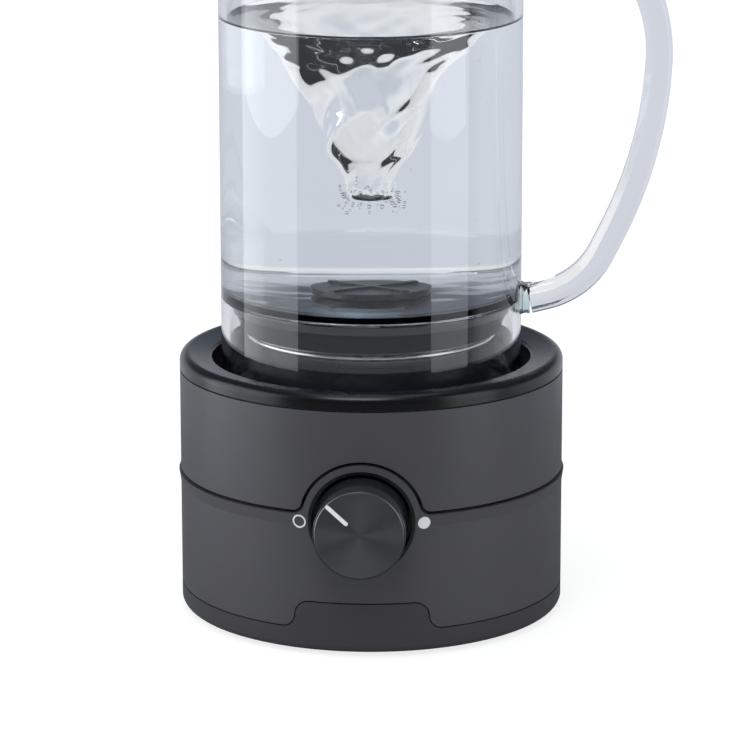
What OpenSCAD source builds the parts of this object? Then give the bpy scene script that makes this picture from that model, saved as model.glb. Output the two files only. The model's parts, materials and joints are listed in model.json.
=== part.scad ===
// Cold brew coffee maker: a glass jar standing on a motor base that stirs it through magnets.
// Millimetres. +Z is up, and z = 0 is the surface that the base stands on.
// The base's axis is the Z axis. The control knob faces -Y and the jar's handle points along +X.

/* [Base casing] */
// Width of the rim round the well
rim_w = 12.5; // [11:0.5:15]
// Height of the seam between the tray and the lower shell
tray_top = 10; // [9:0.5:12]
// Height of the seam between the lower shell and the upper sleeve
waist_z = 54.1; // [52:0.1:56]
// Height of the seam between the upper sleeve and the rim
sleeve_top = 94; // [93:0.5:96]
// Height of the rim above the sleeve
rim_h = 6.5; // [5.5:0.5:9]
// Wall of the moulded shells and of the sleeve
shell_t = 2.5; // [2:0.1:3]
// Wall of the housing behind the sleeve
skirt_t = 2; // [1.6:0.1:2.4]
// How far the housing's skirt reaches down behind the lower shell
skirt_tuck = 4; // [2:0.5:6]
// Height of the shadow gap under the sleeve and round the lip
waist_gap = 1.2; // [0.6:0.1:1.8]
// Height of the fine seams at the tray and under the rim
seam = 0.5; // [0.3:0.1:0.8]
// How deep the fine seams cut into the wall
seam_depth = 1.2; // [0.6:0.1:1.6]
// How far the lower shell's top edge stands proud of the sleeve
flare = 0.7; // [0:0.1:1.2]
// Height over which that edge tapers back
flare_h = 4.5; // [3:0.5:8]
// Rounding along the rim's outer edge
rim_round = 3; // [2:0.5:4]
// Slope of the rim's top towards the well, in degrees
rim_slope = 12; // [6:1:16]
// Rounding of the lip at the well's mouth
lip_round = 1.2; // [0.8:0.1:1.6]

/* [Tray] */
// Width of the flat top of the tray's front tab
tab_w = 38.8; // [34:0.2:44]
// Height of the tab's top edge
tab_top = 20.5; // [19.5:0.5:22]
// Radius of the tab's two curves on each side
tab_curve = 5.3; // [5.3:0.1:6.5]
// Thickness of the tray's floor
tray_t = 2.5; // [2:0.1:3]
// Rounding along the tray's lower edge
tray_round = 3; // [2:0.5:4]
// How far the foot ring stands below the tray
foot_proud = 1.5; // [1:0.1:2.5]
// Mean diameter of the foot ring
foot_d = 104; // [90:1:112]
// Width of the foot ring
foot_w = 8; // [5:0.5:10]
// Depth of the groove that holds the foot ring
foot_groove = 1; // [0.5:0.1:1.2]

/* [Knob and speed control] */
// Drop of the knob's axis below the seam at the waist
knob_drop = 2.5; // [1:0.1:4]
// Diameter of the knob's face
knob_d = 34; // [30:0.5:36]
// Distance that the knob's face stands in front of the casing
knob_proud = 15.6; // [13:0.1:20]
// Angle of the pointer from the right, seen from the front
pointer_angle = 137.5; // [120:0.5:160]
// Width of the pointer
pointer_w = 1.5; // [1:0.1:2]
// Gap between the knob's skirt and the knob well
knob_gap = 1.3; // [0.8:0.1:1.8]
// Depth of the knob well behind the casing's front
knob_well_depth = 9; // [8:0.5:10]
// Wall of the knob well
knob_well_t = 1.2; // [0.9:0.1:1.6]
// Width of the lower shell's lip round the knob well
lip_w = 2.3; // [1.6:0.1:3]
// Radius of the lip's blends into the straight seam
lip_blend = 4.5; // [3:0.5:6]
// Diameter of the speed control's shaft
shaft_d = 6; // [5:0.5:6]
// Running clearance round the shafts
shaft_gap = 0.05; // [0.03:0.01:0.08]
// Distance of the dial marks outside the lip
mark_out = 0.8; // [0.4:0.1:3]

/* [Well and pedestal] */
// Gap between the jar's skirt and the well's mouth
well_gap = 3.5; // [2.5:0.1:4.5]
// Depth of the well below the rim's crest
well_depth = 12.5; // [11:0.5:15]
// Wall of the well
well_t = 2; // [1.6:0.1:2.4]
// Gap between the pedestal's post and the jar's skirt
post_gap = 8.7; // [7.5:0.1:10]
// Height of the surface that the jar stands on above the rim's crest
seat_rise = 21.5; // [19:0.5:26]
// Wall of the post
post_t = 2.5; // [2:0.1:3]
// Height of the post's collar
collar_h = 3; // [2:0.2:4]
// Height of the trim ring
trim_h = 2.2; // [1.6:0.2:3]
// Height of the rest that the jar stands on
rest_h = 13.4; // [12:0.2:16]
// Gap between the rest's edge and the jar's skirt
rest_gap = 1.4; // [0.8:0.1:2]

/* [Motor] */
// Diameter of the motor's can
motor_d = 38; // [34:1:42]
// Length of the motor's can
motor_l = 48; // [46:1:52]
// Diameter of the motor's shaft
motor_shaft_d = 4; // [3:0.5:5]
// Thickness of the magnets in the motor's can
field_magnet_t = 3.6; // [3:0.2:4.4]
// Distance from the axis to the magnets that couple the base to the stirrer
magnet_pitch = 11; // [10:0.5:12]
// Number of magnets on each side of that coupling
magnet_n = 4; // [2:2:4]

/* [Jar] */
// Outside diameter of the jar
jar_d = 114; // [110:1:118]
// Wall of the jar
jar_t = 3; // [2.5:0.1:3.5]
// Depth of the jar inside
jar_depth = 165.5; // [150:0.5:190]
// Thickness of the jar's floor
jar_floor_t = 2.5; // [2:0.1:4]
// Gap between the jar's skirt and the well's floor
skirt_gap = 1.5; // [1:0.1:3]
// Diameter of the stirring disc
stirrer_d = 34; // [32:1:44]
// Thickness of the stirring disc
stirrer_t = 2.2; // [2.2:0.1:4]

/* [Handle] */
// Thickness of the handle, from its inner to its outer edge
handle_t = 10; // [8:0.5:11]
// Width of the handle
handle_w = 14; // [12:0.5:18]
// Height of the handle's lower joint above the jar's floor
handle_low = 1.4; // [1:0.2:5]
// Gap between the jar's wall and the handle, filled by the pads
handle_pad = 3.3; // [2:0.1:4]
// Angle at which the handle leaves the lower pad
handle_leave = 14.4; // [10:0.2:18]
// Radius of the handle's lower bend
handle_r1 = 31.8; // [28:0.2:34]
// Distance from the jar's rim down to the handle's upper joint
handle_drop = 25.1; // [20:0.1:36]
// Radius of the handle's upper back
handle_r3 = 60.6; // [56:0.2:64]

/* [Lid] */
// Gap between the lid's seal and the jar
seal_gap = 0.3; // [0.3:0.05:0.5]
// Depth of the lid's plug
plug_h = 17; // [15:1:20]
// Diameter of the lid's grip
grip_d = 34; // [28:1:40]

/* [Hidden] */
$fn = 96;

// Base casing
jar_r = jar_d / 2;
jar_in = jar_r - jar_t;
well_r = jar_r + well_gap;
base_r = well_r + rim_w;
rim_top = sleeve_top + rim_h;
shell_in = base_r - shell_t;
skirt_in = shell_in - skirt_t;
tray_bottom = foot_proud;
tray_floor = tray_bottom + tray_t;
quarters = [45:90:315];
screw_d = 3;
screw_l = 16;
boss_d = 8;
boss_r = skirt_in + 0.5 - boss_d / 2;
boss_bottom = tray_floor + 3;
seat_d = 9.4;
seat_t = 2.2;
head_d = 6.6;
head_h = 2.4;
head_gap = 0.3;

// Knob, measured forwards from the base's axis
knob_z = waist_z - knob_drop;
well_back = base_r - knob_well_depth;
face_d = base_r + knob_proud;
knob_r = knob_d / 2;
knob_skirt_r = knob_r + 0.3;
knob_back = well_back + 3.4;
knob_wall = 1.8;
cup_in = knob_skirt_r + knob_gap;
cup_r = cup_in + knob_well_t;
lip_r = cup_r + lip_w;
mark_angle = asin((lip_r + mark_out) / base_r);
face_t = 1.1;
face_edge = 0.5;
hub_d = 11;
hub_back = well_back + 6.5;
control_body_d = 17;
control_body_l = 9;
control_floor_t = 2;
control_y = well_back - control_floor_t;
bushing_d = shaft_d + 2;
nut_h = 2;
leads_y = control_y - control_body_l / 2;
terminal_z = knob_z - 14;
lug_w = 14;
lug_inset = 2;

// Well and pedestal
well_floor = rim_top - well_depth;
brim_t = 4;
ledge_t = 2;
ledge_w = 6.5;
brim_bottom = well_floor - brim_t;
ledge_bottom = brim_bottom - ledge_t;
rim_under = sleeve_top + 2;
post_r = jar_in - post_gap;
post_in = post_r - post_t;
rest_r = jar_in - rest_gap;
seat_z = rim_top + seat_rise;
trim_top = seat_z - rest_h;
post_top = trim_top - trim_h;
collar_r = post_r + 1.3;
trim_r = post_r + 1.9;
rest_wall = 2.2;
rest_roof = 2.5;

// Motor, hung under its bracket inside the post
bracket_t = 2.5;
shelf_t = 5;
shelf_in = motor_d / 2 + 7;
damper_h = 3;
bracket_z = post_top - 7.4;
shelf_top = bracket_z - damper_h;
bracket_r = post_in - 1;
bracket_screw_r = (shelf_in + post_in) / 2;
can_t = 1.6;
can_bottom = bracket_z - motor_l;
end_cap_t = 3.5;
bush_d = motor_shaft_d + 4;
bush_h = 5;
motor_shaft_r = motor_shaft_d / 2;
motor_screw_r = motor_d / 4 + 0.5;
core_gap = 0.8;
core_d = motor_d - 2 * (can_t + field_magnet_t + core_gap);
core_end = 11;
core_z = can_bottom + core_end;
core_h = motor_l - 2 * core_end;
slot_d = 4.5;
slot_inset = 4;
slot_mouth = 1.4;
winding_h = 2;
commutator_r = motor_shaft_r + 2.6;
brush_l = 5;
brush_w = 3.2;
brush_gap = 0.4;
brush_x = commutator_r + brush_gap;
carrier_z = seat_z - rest_roof - 10;
carrier_h = 7.5;
carrier_r = magnet_pitch + 8;
drive_magnet_d = 9;
drive_magnet_h = 5;
hub_bottom = bracket_z + bracket_t + 2.5;

// Control board on the tray
board_t = 1.6;
board_w = 50;
board_l = 88;
board_z = tray_floor + 10;
board_top = board_z + board_t;
board_front = leads_y + 2.5;
board_inset = 4;
board_screw_d = 2.5;
standoff_d = 7;
capacitor_d = 12.5;
capacitor_h = 20;
capacitor_x = 14;
capacitor_inset = 22;
terminal_w = 22;
terminal_l = 9;
terminal_h = 11;
terminal_inset = 13;
sink_w = 28;
sink_h = 16;
sink_t = 2;
sink_inset = 24;
fin_l = 7;
fin_t = 1.5;
fin_n = 6;
lead_d = 1.6;
lead_x = motor_shaft_d / 2 + 4;
signal_d = 1.4;
signal_step = 5;

// Cord gland at the back
gland_z = tray_top + 14;
gland_bore_r = 3.4;
gland_neck_r = 5.5;
gland_flange_r = 8;
gland_lock_r = 7.5;
gland_flange_t = 2.2;

// Stirrer on the jar's floor
floor_z = seat_z + jar_floor_t;
jar_top = floor_z + jar_depth;
stirrer_lift = 0.5;
stirrer_z = floor_z + stirrer_lift;
stir_magnet_d = 7;
stir_magnet_h = 1.4;
vane_h = 0.8;

// Handle: a path of tangent lines and arcs in the XZ plane, with a heading in degrees.
// Every second piece is larger by the splice and laps over its neighbours. The radii of the long
// back and of the top bend are solved so that the path ends at the upper joint.
handle_x = jar_r + handle_pad;
pad_h = handle_t + 1;
pad_w = handle_w - 2;
handle_z = seat_z - handle_low;
handle_end_z = jar_top - handle_drop;
back_heading = 63.7;
upper_heading = 87.8;
top_heading = 106.9;
end_heading = 176;
lead_in = 6.5;
back_straight = 9;
handle_tail = 4;
splice = 0.02;
splice_l = 0.4;
leg_low = lead_in * heading(handle_leave) + turn(handle_r1, handle_leave, back_heading);
leg_mid = back_straight * heading(back_heading) + turn(handle_r3, upper_heading, top_heading);
leg_end = handle_tail * heading(end_heading);
open_leg = [0, handle_end_z - handle_z] - leg_low - leg_mid - leg_end;
unit_back = turn(1, back_heading, upper_heading);
unit_top = turn(1, top_heading, end_heading);
handle_r2 = cross(open_leg, unit_top) / cross(unit_back, unit_top);
handle_r4 = cross(unit_back, open_leg) / cross(unit_back, unit_top);

// Lid
lid_r = jar_r + 1.2;
plug_r = jar_in - 1.5;
plug_t = 2.5;
plug_in = plug_r - plug_t;
cap_edge_h = 3;
cap_crown = 2;
cap_flat_r = 14;
cap_top = jar_top + cap_edge_h + cap_crown;
seal_z = jar_top - plug_h / 2;
seal_h = 4;
seal_seat = 1.5;
seal_round = 1.3;
strainer_t = 0.8;
strainer_z = jar_top - plug_h + 0.6;
strainer_hole_d = 4;
strainer_step = 9;
strainer_rings = 4;
pour_in = plug_in - 10;
pour_out = plug_in - 2;
pour_angle = 40;
grip_r = grip_d / 2;
grip_h = 13;
grip_stem_r = 9;
grip_screw_d = 4;

// Direction of a heading, as [x, z]
function heading(a) = [cos(a), sin(a)];

// Step along a left-hand arc of radius r from heading a to heading b
function turn(r, a, b) = r * [sin(b) - sin(a), cos(a) - cos(b)];

// Points along an arc about c, from angle a to angle b
function arc(c, r, a, b, n = 6) = [for (i = [0:n]) c + r * heading(a + (b - a) * i / n)];

// Ring about the Z axis
module ring(r_out, r_in, z_low, z_high) {
  rotate_extrude() translate([r_in, z_low]) square([r_out - r_in, z_high - z_low]);
}

// Upright cylinder between two heights
module rod(d, z_low, z_high) {
  translate([0, 0, z_low]) cylinder(d = d, h = z_high - z_low);
}

// Turns a solid built along +Z so that it points forwards along -Y, at the knob's height
module knob_axis() {
  translate([0, 0, knob_z]) rotate([90, 0, 0]) children();
}

// Turns a solid built along +Z so that it points backwards along +Y, at the gland's height
module gland_axis() {
  translate([0, 0, gland_z]) rotate([-90, 0, 0]) children();
}

// Copies round the Z axis at the four case screws
module at_quarters(r) {
  for (a = quarters) rotate([0, 0, a]) translate([r, 0, 0]) children();
}

// Extrudes a front view from the base's axis towards the front
module facing_front(depth) {
  rotate([90, 0, 0]) linear_extrude(height = depth) children();
}

// Everything under a height at the back, and under a front-view outline at the front
module under(z) {
  reach = base_r + 5;
  translate([-reach, 0, -1]) cube([2 * reach, reach, z + 1]);
  facing_front(reach) children();
}

// Front view of the tray, grown by a gap: a straight top with the tab's double curves
module tray_view(gap) {
  reach = base_r + 5;
  half = tab_w / 2;
  rise = tab_top - tray_top - 2 * tab_curve;
  side = half + sqrt(4 * tab_curve * tab_curve - rise * rise);
  high = tab_top - tab_curve;
  low = tray_top + tab_curve;
  translate([-reach, -1]) square([2 * reach, tray_top + gap + 1]);
  translate([-half, 0]) square([2 * half, tab_top + gap]);
  for (s = [-1, 1]) {
    translate([s * half, high]) circle(r = tab_curve + gap);
    difference() {
      polygon([[0, 0], [s * side, 0], [s * side, low], [s * half, high], [0, high]]);
      translate([s * side, low]) circle(r = tab_curve - gap);
    }
  }
}

// Front view of the lower shell, grown by a gap: a straight top with the lip round the knob
module shell_view(gap) {
  reach = base_r + 5;
  blend_z = waist_z + lip_blend;
  blend_x = sqrt(pow(lip_r + lip_blend, 2) - pow(blend_z - knob_z, 2));
  translate([-reach, -1]) square([2 * reach, waist_z + gap + 1]);
  translate([0, knob_z]) circle(r = lip_r + gap);
  for (s = [-1, 1]) {
    difference() {
      polygon([[0, 0], [s * blend_x, 0], [s * blend_x, blend_z], [0, knob_z]]);
      translate([s * blend_x, blend_z]) circle(r = lip_blend - gap);
    }
  }
}

module base_tray() {
  edge = [base_r - tray_round, tray_bottom + tray_round];
  color("#464448") difference() {
    union() {
      rotate_extrude() polygon(concat(
        [[0, tray_bottom]],
        arc(edge, tray_round, -90, 0),
        [[base_r, tray_top], [shell_in, tray_top], [shell_in, tray_floor], [0, tray_floor]]
      ));
      intersection() {
        ring(base_r, shell_in, tray_floor, tab_top + 1);
        facing_front(base_r + 1) tray_view(0);
      }
      at_quarters(boss_r) rod(seat_d, tray_bottom + 1, boss_bottom);
      board_corners() rod(standoff_d, tray_bottom + 1, board_z);
    }
    ring(foot_d / 2 + foot_w / 2, foot_d / 2 - foot_w / 2, 0, tray_bottom + foot_groove);
    at_quarters(boss_r) rod(screw_d + 0.4, 0, boss_bottom + 1);
    at_quarters(boss_r) rod(head_d + 2 * head_gap, 0, boss_bottom - seat_t);
    board_corners() rod(board_screw_d, board_z - 7, board_z + 1);
  }
}

module foot_ring() {
  color("#1c1c1e") ring(foot_d / 2 + foot_w / 2, foot_d / 2 - foot_w / 2, 0, tray_bottom + foot_groove);
}

module case_screws() {
  seat = boss_bottom - seat_t;
  color("silver") at_quarters(boss_r) {
    rod(head_d, seat - head_h, seat);
    rod(screw_d, seat - 1, seat + screw_l);
  }
}

module lower_shell() {
  top = knob_z + lip_r + 1;
  color("#47464b") difference() {
    intersection() {
      rotate_extrude() polygon([
        [shell_in, tray_top - 1], [base_r, tray_top - 1], [base_r, waist_z - flare_h],
        [base_r + flare, waist_z], [base_r + flare, top], [shell_in, top]
      ]);
      under(waist_z) shell_view(0);
    }
    under(tray_top) tray_view(0);
    intersection() {
      ring(base_r + 1, base_r - seam_depth, 0, tab_top + 2);
      under(tray_top + seam) tray_view(seam);
    }
    knob_axis() rod(2 * cup_r, 0, base_r + 5);
    gland_axis() rod(2 * gland_neck_r, 0, base_r + 5);
  }
}

module upper_sleeve() {
  color("#47464b") difference() {
    ring(base_r, shell_in, waist_z, sleeve_top);
    under(waist_z + waist_gap) shell_view(waist_gap);
    ring(base_r + 1, base_r - seam_depth, sleeve_top - seam, sleeve_top + 1);
  }
}

module top_housing() {
  skirt_bottom = waist_z - skirt_tuck;
  outer = [base_r - rim_round, rim_top - rim_round];
  crest = outer + rim_round * heading(90 + rim_slope);
  lip_x = well_r + lip_round;
  lip_start = lip_x - lip_round * sin(rim_slope);
  lip_z = crest[1] - tan(rim_slope) * (crest[0] - lip_start) - lip_round * cos(rim_slope);
  color("#232326") difference() {
    union() {
      rotate_extrude() polygon(concat(
        [[skirt_in, skirt_bottom], [shell_in, skirt_bottom], [shell_in, sleeve_top], [base_r, sleeve_top]],
        arc(outer, rim_round, 0, 90 + rim_slope, 10),
        arc([lip_x, lip_z], lip_round, 90 + rim_slope, 180),
        [
          [well_r, brim_bottom], [well_r - ledge_w, brim_bottom], [well_r - ledge_w, ledge_bottom],
          [well_r + well_t, ledge_bottom], [well_r + well_t, rim_under], [skirt_in, rim_under]
        ]
      ));
      at_quarters(boss_r) rod(boss_d, boss_bottom, brim_bottom);
    }
    rod(2 * well_r, brim_bottom, brim_bottom + 1);
    at_quarters(boss_r) rod(screw_d, boss_bottom - 1, boss_bottom + screw_l);
    knob_axis() rod(2 * cup_r + 1, 0, base_r + 5);
    rotate([0, 0, 45]) at_quarters(well_r - ledge_w / 2) rod(screw_d + 0.4, 0, brim_bottom + 1);
  }
}

module knob_well() {
  color("#141416") difference() {
    intersection() {
      knob_axis() rod(2 * cup_r, well_back - control_floor_t, base_r + 5);
      rod(2 * (base_r + flare - 0.3), 0, rim_top);
    }
    knob_axis() rod(2 * cup_in, well_back, base_r + 6);
    knob_axis() rod(bushing_d, 0, base_r);
  }
}

module dial_marks() {
  mark_t = 0.12;
  mark_z = knob_z - 0.3;
  color("white") intersection() {
    rotate_extrude() polygon([
      [base_r, tray_top], [base_r + mark_t, tray_top], [base_r + mark_t, waist_z - flare_h],
      [base_r + flare + mark_t, waist_z], [base_r + flare, waist_z], [base_r, waist_z - flare_h]
    ]);
    union() {
      rotate([0, 0, -mark_angle]) facing_front(base_r + 5) translate([0, mark_z]) difference() {
        circle(d = 5.2);
        circle(d = 4);
      }
      rotate([0, 0, mark_angle]) facing_front(base_r + 5) translate([0, mark_z]) circle(d = 4.7);
    }
  }
}

module cord_gland() {
  lock_d = sqrt(shell_in * shell_in - gland_lock_r * gland_lock_r) - 0.1;
  color("#1a1a1c") gland_axis() difference() {
    union() {
      rod(2 * gland_neck_r, lock_d - 1, base_r + 1);
      rod(2 * gland_flange_r, base_r, base_r + gland_flange_t);
      rod(2 * gland_lock_r, lock_d - 2.4, lock_d);
    }
    rod(2 * gland_bore_r, lock_d - 3, base_r + gland_flange_t + 1);
  }
}

module drive_housing() {
  color("#151518") difference() {
    rotate_extrude() polygon([
      [post_in, brim_bottom], [well_r, brim_bottom], [well_r, well_floor], [post_r, well_floor],
      [post_r, post_top - collar_h], [collar_r, post_top - collar_h + 0.6], [collar_r, post_top],
      [post_in, post_top], [post_in, shelf_top], [shelf_in, shelf_top], [shelf_in, shelf_top - shelf_t],
      [post_in, shelf_top - shelf_t]
    ]);
    at_quarters(bracket_screw_r) rod(screw_d, shelf_top - shelf_t - 1, shelf_top + 1);
    rotate([0, 0, 45]) at_quarters(well_r - ledge_w / 2) rod(screw_d, 0, well_floor - 0.8);
  }
}

module drive_screws() {
  color("silver") rotate([0, 0, 45]) at_quarters(well_r - ledge_w / 2) {
    rod(5.6, ledge_bottom - 2, ledge_bottom);
    rod(screw_d, ledge_bottom - 1, well_floor - 0.8);
  }
}

module trim_ring() {
  round_r = trim_h / 2;
  color("#e6e6ea") rotate_extrude() {
    translate([post_in, post_top]) square([trim_r - round_r - post_in, trim_h]);
    translate([trim_r - round_r, post_top + round_r]) circle(r = round_r);
  }
}

module jar_rest() {
  neck = trim_r;
  flare_w = rest_r - neck;
  edge = 0.8;
  band = 4.4;
  step_z = trim_top + (rest_h - band) * 0.55;
  color("#1d1d1f") rotate_extrude() polygon(concat(
    [[post_in - rest_wall, trim_top - 4], [post_in, trim_top - 4], [post_in, trim_top], [neck, trim_top]],
    [[neck + 0.39 * flare_w, trim_top + 1.6], [neck + 0.54 * flare_w, trim_top + 3.2]],
    [[neck + 0.62 * flare_w, step_z], [neck + 0.76 * flare_w, step_z + 1.6], [rest_r, seat_z - band]],
    arc([rest_r - edge, seat_z - edge], edge, 0, 90),
    [[0, seat_z], [0, seat_z - rest_roof], [post_in - rest_wall, seat_z - rest_roof]]
  ));
}

module motor_bracket() {
  color("#b9bcc2") difference() {
    rod(2 * bracket_r, bracket_z, bracket_z + bracket_t);
    rod(bush_d + 4, bracket_z - 1, bracket_z + bracket_t + 1);
    at_quarters(bracket_screw_r) rod(screw_d + 0.4, bracket_z - 1, bracket_z + bracket_t + 1);
    at_motor_screws() rod(screw_d + 0.4, bracket_z - 1, bracket_z + bracket_t + 1);
  }
}

module motor_dampers() {
  color("#2a2a2c") at_quarters(bracket_screw_r) difference() {
    rod(screw_d + 3.4, shelf_top, bracket_z);
    rod(screw_d + 0.4, shelf_top - 1, bracket_z + 1);
  }
}

module bracket_screws() {
  top = bracket_z + bracket_t;
  color("silver") at_quarters(bracket_screw_r) {
    rod(5.4, top, top + 2);
    rod(screw_d, shelf_top - shelf_t, top + 1);
  }
}

module at_motor_screws() {
  for (s = [-1, 1]) translate([s * motor_screw_r, 0, 0]) children();
}

module motor_can() {
  color("#8d9096") difference() {
    rod(motor_d, can_bottom, bracket_z);
    rod(motor_d - 2 * can_t, can_bottom - 1, bracket_z - 2.5);
    rod(bush_d, can_bottom, bracket_z + 1);
    at_motor_screws() rod(screw_d, bracket_z - 3, bracket_z + 1);
  }
}

module motor_end_cap() {
  color("#2d2d30") difference() {
    union() {
      rod(motor_d, can_bottom - end_cap_t, can_bottom);
      rod(motor_d - 2 * can_t, can_bottom - 1, can_bottom + 2);
    }
    rod(bush_d, can_bottom - end_cap_t - 1, can_bottom + 3);
  }
}

module field_magnets() {
  color("#3a3a3e") for (a = [0, 180]) rotate([0, 0, a - 60]) rotate_extrude(angle = 120)
    translate([core_d / 2 + core_gap, core_z]) square([field_magnet_t, core_h]);
}

module brushes() {
  color("#4a4a4e") for (a = [0, 180]) rotate([0, 0, a]) translate([brush_x, -brush_w / 2, can_bottom + 2]) {
    cube([brush_l, brush_w, brush_l]);
  }
}

module motor_bushes() {
  bottom = can_bottom - end_cap_t;
  color("#b08d57") for (z = [bottom, bracket_z + 1.5 - bush_h]) {
    ring(bush_d / 2, motor_shaft_r + shaft_gap, z, z + bush_h);
  }
}

module motor_screws() {
  top = bracket_z + bracket_t;
  color("silver") at_motor_screws() {
    rod(5.4, top, top + 1.8);
    rod(screw_d, bracket_z - 2.5, top + 1);
  }
}

module motor_shaft() {
  color("#c9ccd1") rod(motor_shaft_d, can_bottom - end_cap_t - 1, carrier_z + carrier_h - 2);
}

module armature_core() {
  slots = 5;
  color("#6b6e73") difference() {
    ring(core_d / 2, motor_shaft_r, core_z, core_z + core_h);
    for (i = [0:slots - 1]) rotate([0, 0, i * 360 / slots]) {
      translate([core_d / 2 - slot_inset, 0, core_z - 1]) cylinder(d = slot_d, h = core_h + 2);
      translate([core_d / 2 - slot_inset, -slot_mouth / 2, core_z - 1]) {
        cube([slot_inset + 1, slot_mouth, core_h + 2]);
      }
    }
  }
}

module armature_windings() {
  color("#b5652a") for (z = [core_z - winding_h, core_z + core_h]) {
    ring(core_d / 2 - 3, motor_shaft_r, z, z + winding_h);
  }
}

module commutator() {
  color("#c07b3a") ring(commutator_r, motor_shaft_r, can_bottom + 2.4, core_z - winding_h);
}

module magnet_ring(d, z_low, z_high) {
  for (i = [0:magnet_n - 1]) rotate([0, 0, i * 360 / magnet_n]) translate([magnet_pitch, 0, 0]) {
    rod(d, z_low, z_high);
  }
}

module magnet_carrier() {
  top = carrier_z + carrier_h;
  color("#e8e6df") difference() {
    union() {
      rod(2 * carrier_r, carrier_z, top);
      rod(10, hub_bottom, carrier_z + 1);
    }
    rod(motor_shaft_d, hub_bottom - 1, top - 2);
    magnet_ring(drive_magnet_d, top - drive_magnet_h, top + 1);
  }
}

module drive_magnets() {
  top = carrier_z + carrier_h;
  color("#a9abb0") magnet_ring(drive_magnet_d, top - drive_magnet_h, top);
}

// Copies at the control board's four screws
module board_corners() {
  x = board_w / 2 - board_inset;
  front = board_inset - board_front;
  back = board_l - board_inset - board_front;
  for (sx = [-1, 1]) for (y = [front, back]) translate([sx * x, y, 0]) children();
}

module control_board() {
  color("#1f6b3a") difference() {
    translate([-board_w / 2, -board_front, board_z]) cube([board_w, board_l, board_t]);
    board_corners() rod(board_screw_d + 0.4, board_z - 1, board_top + 1);
  }
}

module board_screws() {
  color("silver") board_corners() {
    rod(4.8, board_top, board_top + 1.6);
    rod(board_screw_d, board_z - 6, board_top + 1);
  }
}

module capacitors() {
  y = board_l - board_front - capacitor_inset;
  color("#22252c") for (s = [-1, 1]) translate([s * capacitor_x, y, 0]) {
    rod(capacitor_d, board_top, board_top + capacitor_h);
  }
}

module terminal_block() {
  y = board_l - board_front - terminal_inset;
  color("#2f7d4f") translate([-terminal_w / 2, y, board_top]) cube([terminal_w, terminal_l, terminal_h]);
}

module heat_sink() {
  step = (sink_w - fin_t) / (fin_n - 1);
  color("#9da1a6") translate([-sink_w / 2, sink_inset - board_front, board_top]) {
    cube([sink_w, sink_t, sink_h]);
    for (i = [0:fin_n - 1]) translate([i * step, 0, 0]) cube([fin_t, sink_t + fin_l, sink_h]);
  }
}

module motor_leads() {
  color("#b3261e") for (s = [-1, 1]) translate([s * lead_x, 0, 0]) {
    rod(lead_d, board_top, can_bottom - end_cap_t);
  }
}

module control_leads() {
  color("#d8b13a") for (i = [-1:1]) translate([i * signal_step, -leads_y, 0]) {
    rod(signal_d, board_top, terminal_z);
  }
}

module speed_control() {
  color("#50535a") difference() {
    union() {
      knob_axis() rod(control_body_d, control_y - control_body_l, control_y);
      knob_axis() rod(bushing_d, control_y - 1, well_back + nut_h + 1.5);
      translate([-lug_w / 2, lug_inset - control_y, terminal_z]) {
        cube([lug_w, control_body_l - 2 * lug_inset, knob_z - terminal_z]);
      }
    }
    knob_axis() rod(shaft_d + 2 * shaft_gap, control_y - 6, well_back + 10);
  }
}

module control_nut() {
  color("silver") knob_axis() difference() {
    translate([0, 0, well_back]) cylinder(r = bushing_d / 2 + 2.2, h = nut_h, $fn = 6);
    rod(bushing_d, well_back - 1, well_back + nut_h + 1);
  }
}

// Round shaft with a flat, seen along its axis
module d_shape() {
  difference() {
    circle(d = shaft_d);
    translate([-shaft_d, shaft_d / 2 - 0.6]) square([2 * shaft_d, shaft_d]);
  }
}

module control_shaft() {
  color("#c9ccd1") knob_axis() {
    rod(shaft_d, control_y - 5, hub_back);
    translate([0, 0, hub_back]) linear_extrude(height = face_d - face_t - 6 - hub_back) d_shape();
  }
}

module knob() {
  seat = face_d - face_t;
  inner = seat - 2.5;
  color("#17171a") knob_axis() difference() {
    rotate_extrude() polygon([
      [0, inner], [0, seat], [knob_r - face_edge, seat], [knob_r - face_edge, face_d - 0.3],
      [knob_r - 0.2, face_d - 0.3], [knob_r, face_d - 0.8], [knob_skirt_r, knob_back],
      [knob_skirt_r - knob_wall, knob_back], [knob_r - knob_wall, inner],
      [hub_d / 2, inner], [hub_d / 2, hub_back], [0, hub_back]
    ]);
    translate([0, 0, hub_back - 1]) linear_extrude(height = seat - 6 - hub_back + 1) d_shape();
  }
}

// Front view of the pointer: a bar with round ends
module pointer_view() {
  from = 0.38 * knob_r;
  to = 0.92 * knob_r;
  rotate(pointer_angle) {
    translate([from, -pointer_w / 2]) square([to - from, pointer_w]);
    for (x = [from, to]) translate([x, 0]) circle(d = pointer_w);
  }
}

module knob_face() {
  r = knob_r - face_edge;
  color("#3f3f44") knob_axis() difference() {
    rotate_extrude() polygon([
      [0, face_d - face_t], [r, face_d - face_t], [r, face_d - 0.3], [r - 0.3, face_d], [0, face_d]
    ]);
    translate([0, 0, face_d - 0.5]) linear_extrude(height = 1) pointer_view();
  }
}

module knob_pointer() {
  color("white") knob_axis() translate([0, 0, face_d - 0.5]) linear_extrude(height = 0.55) pointer_view();
}

module jar_glass() {
  low = well_floor + skirt_gap;
  round_r = jar_t / 2;
  corner = 3;
  color([0.85, 0.93, 0.96, 0.35]) rotate_extrude() polygon(concat(
    arc([jar_r - round_r, low + round_r], round_r, -180, 0, 8),
    arc([jar_r - round_r, jar_top - round_r], round_r, 0, 180, 8),
    arc([jar_in - corner, floor_z + corner], corner, 0, -90),
    [[0, floor_z], [0, seat_z], [jar_in, seat_z]]
  ));
}

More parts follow.
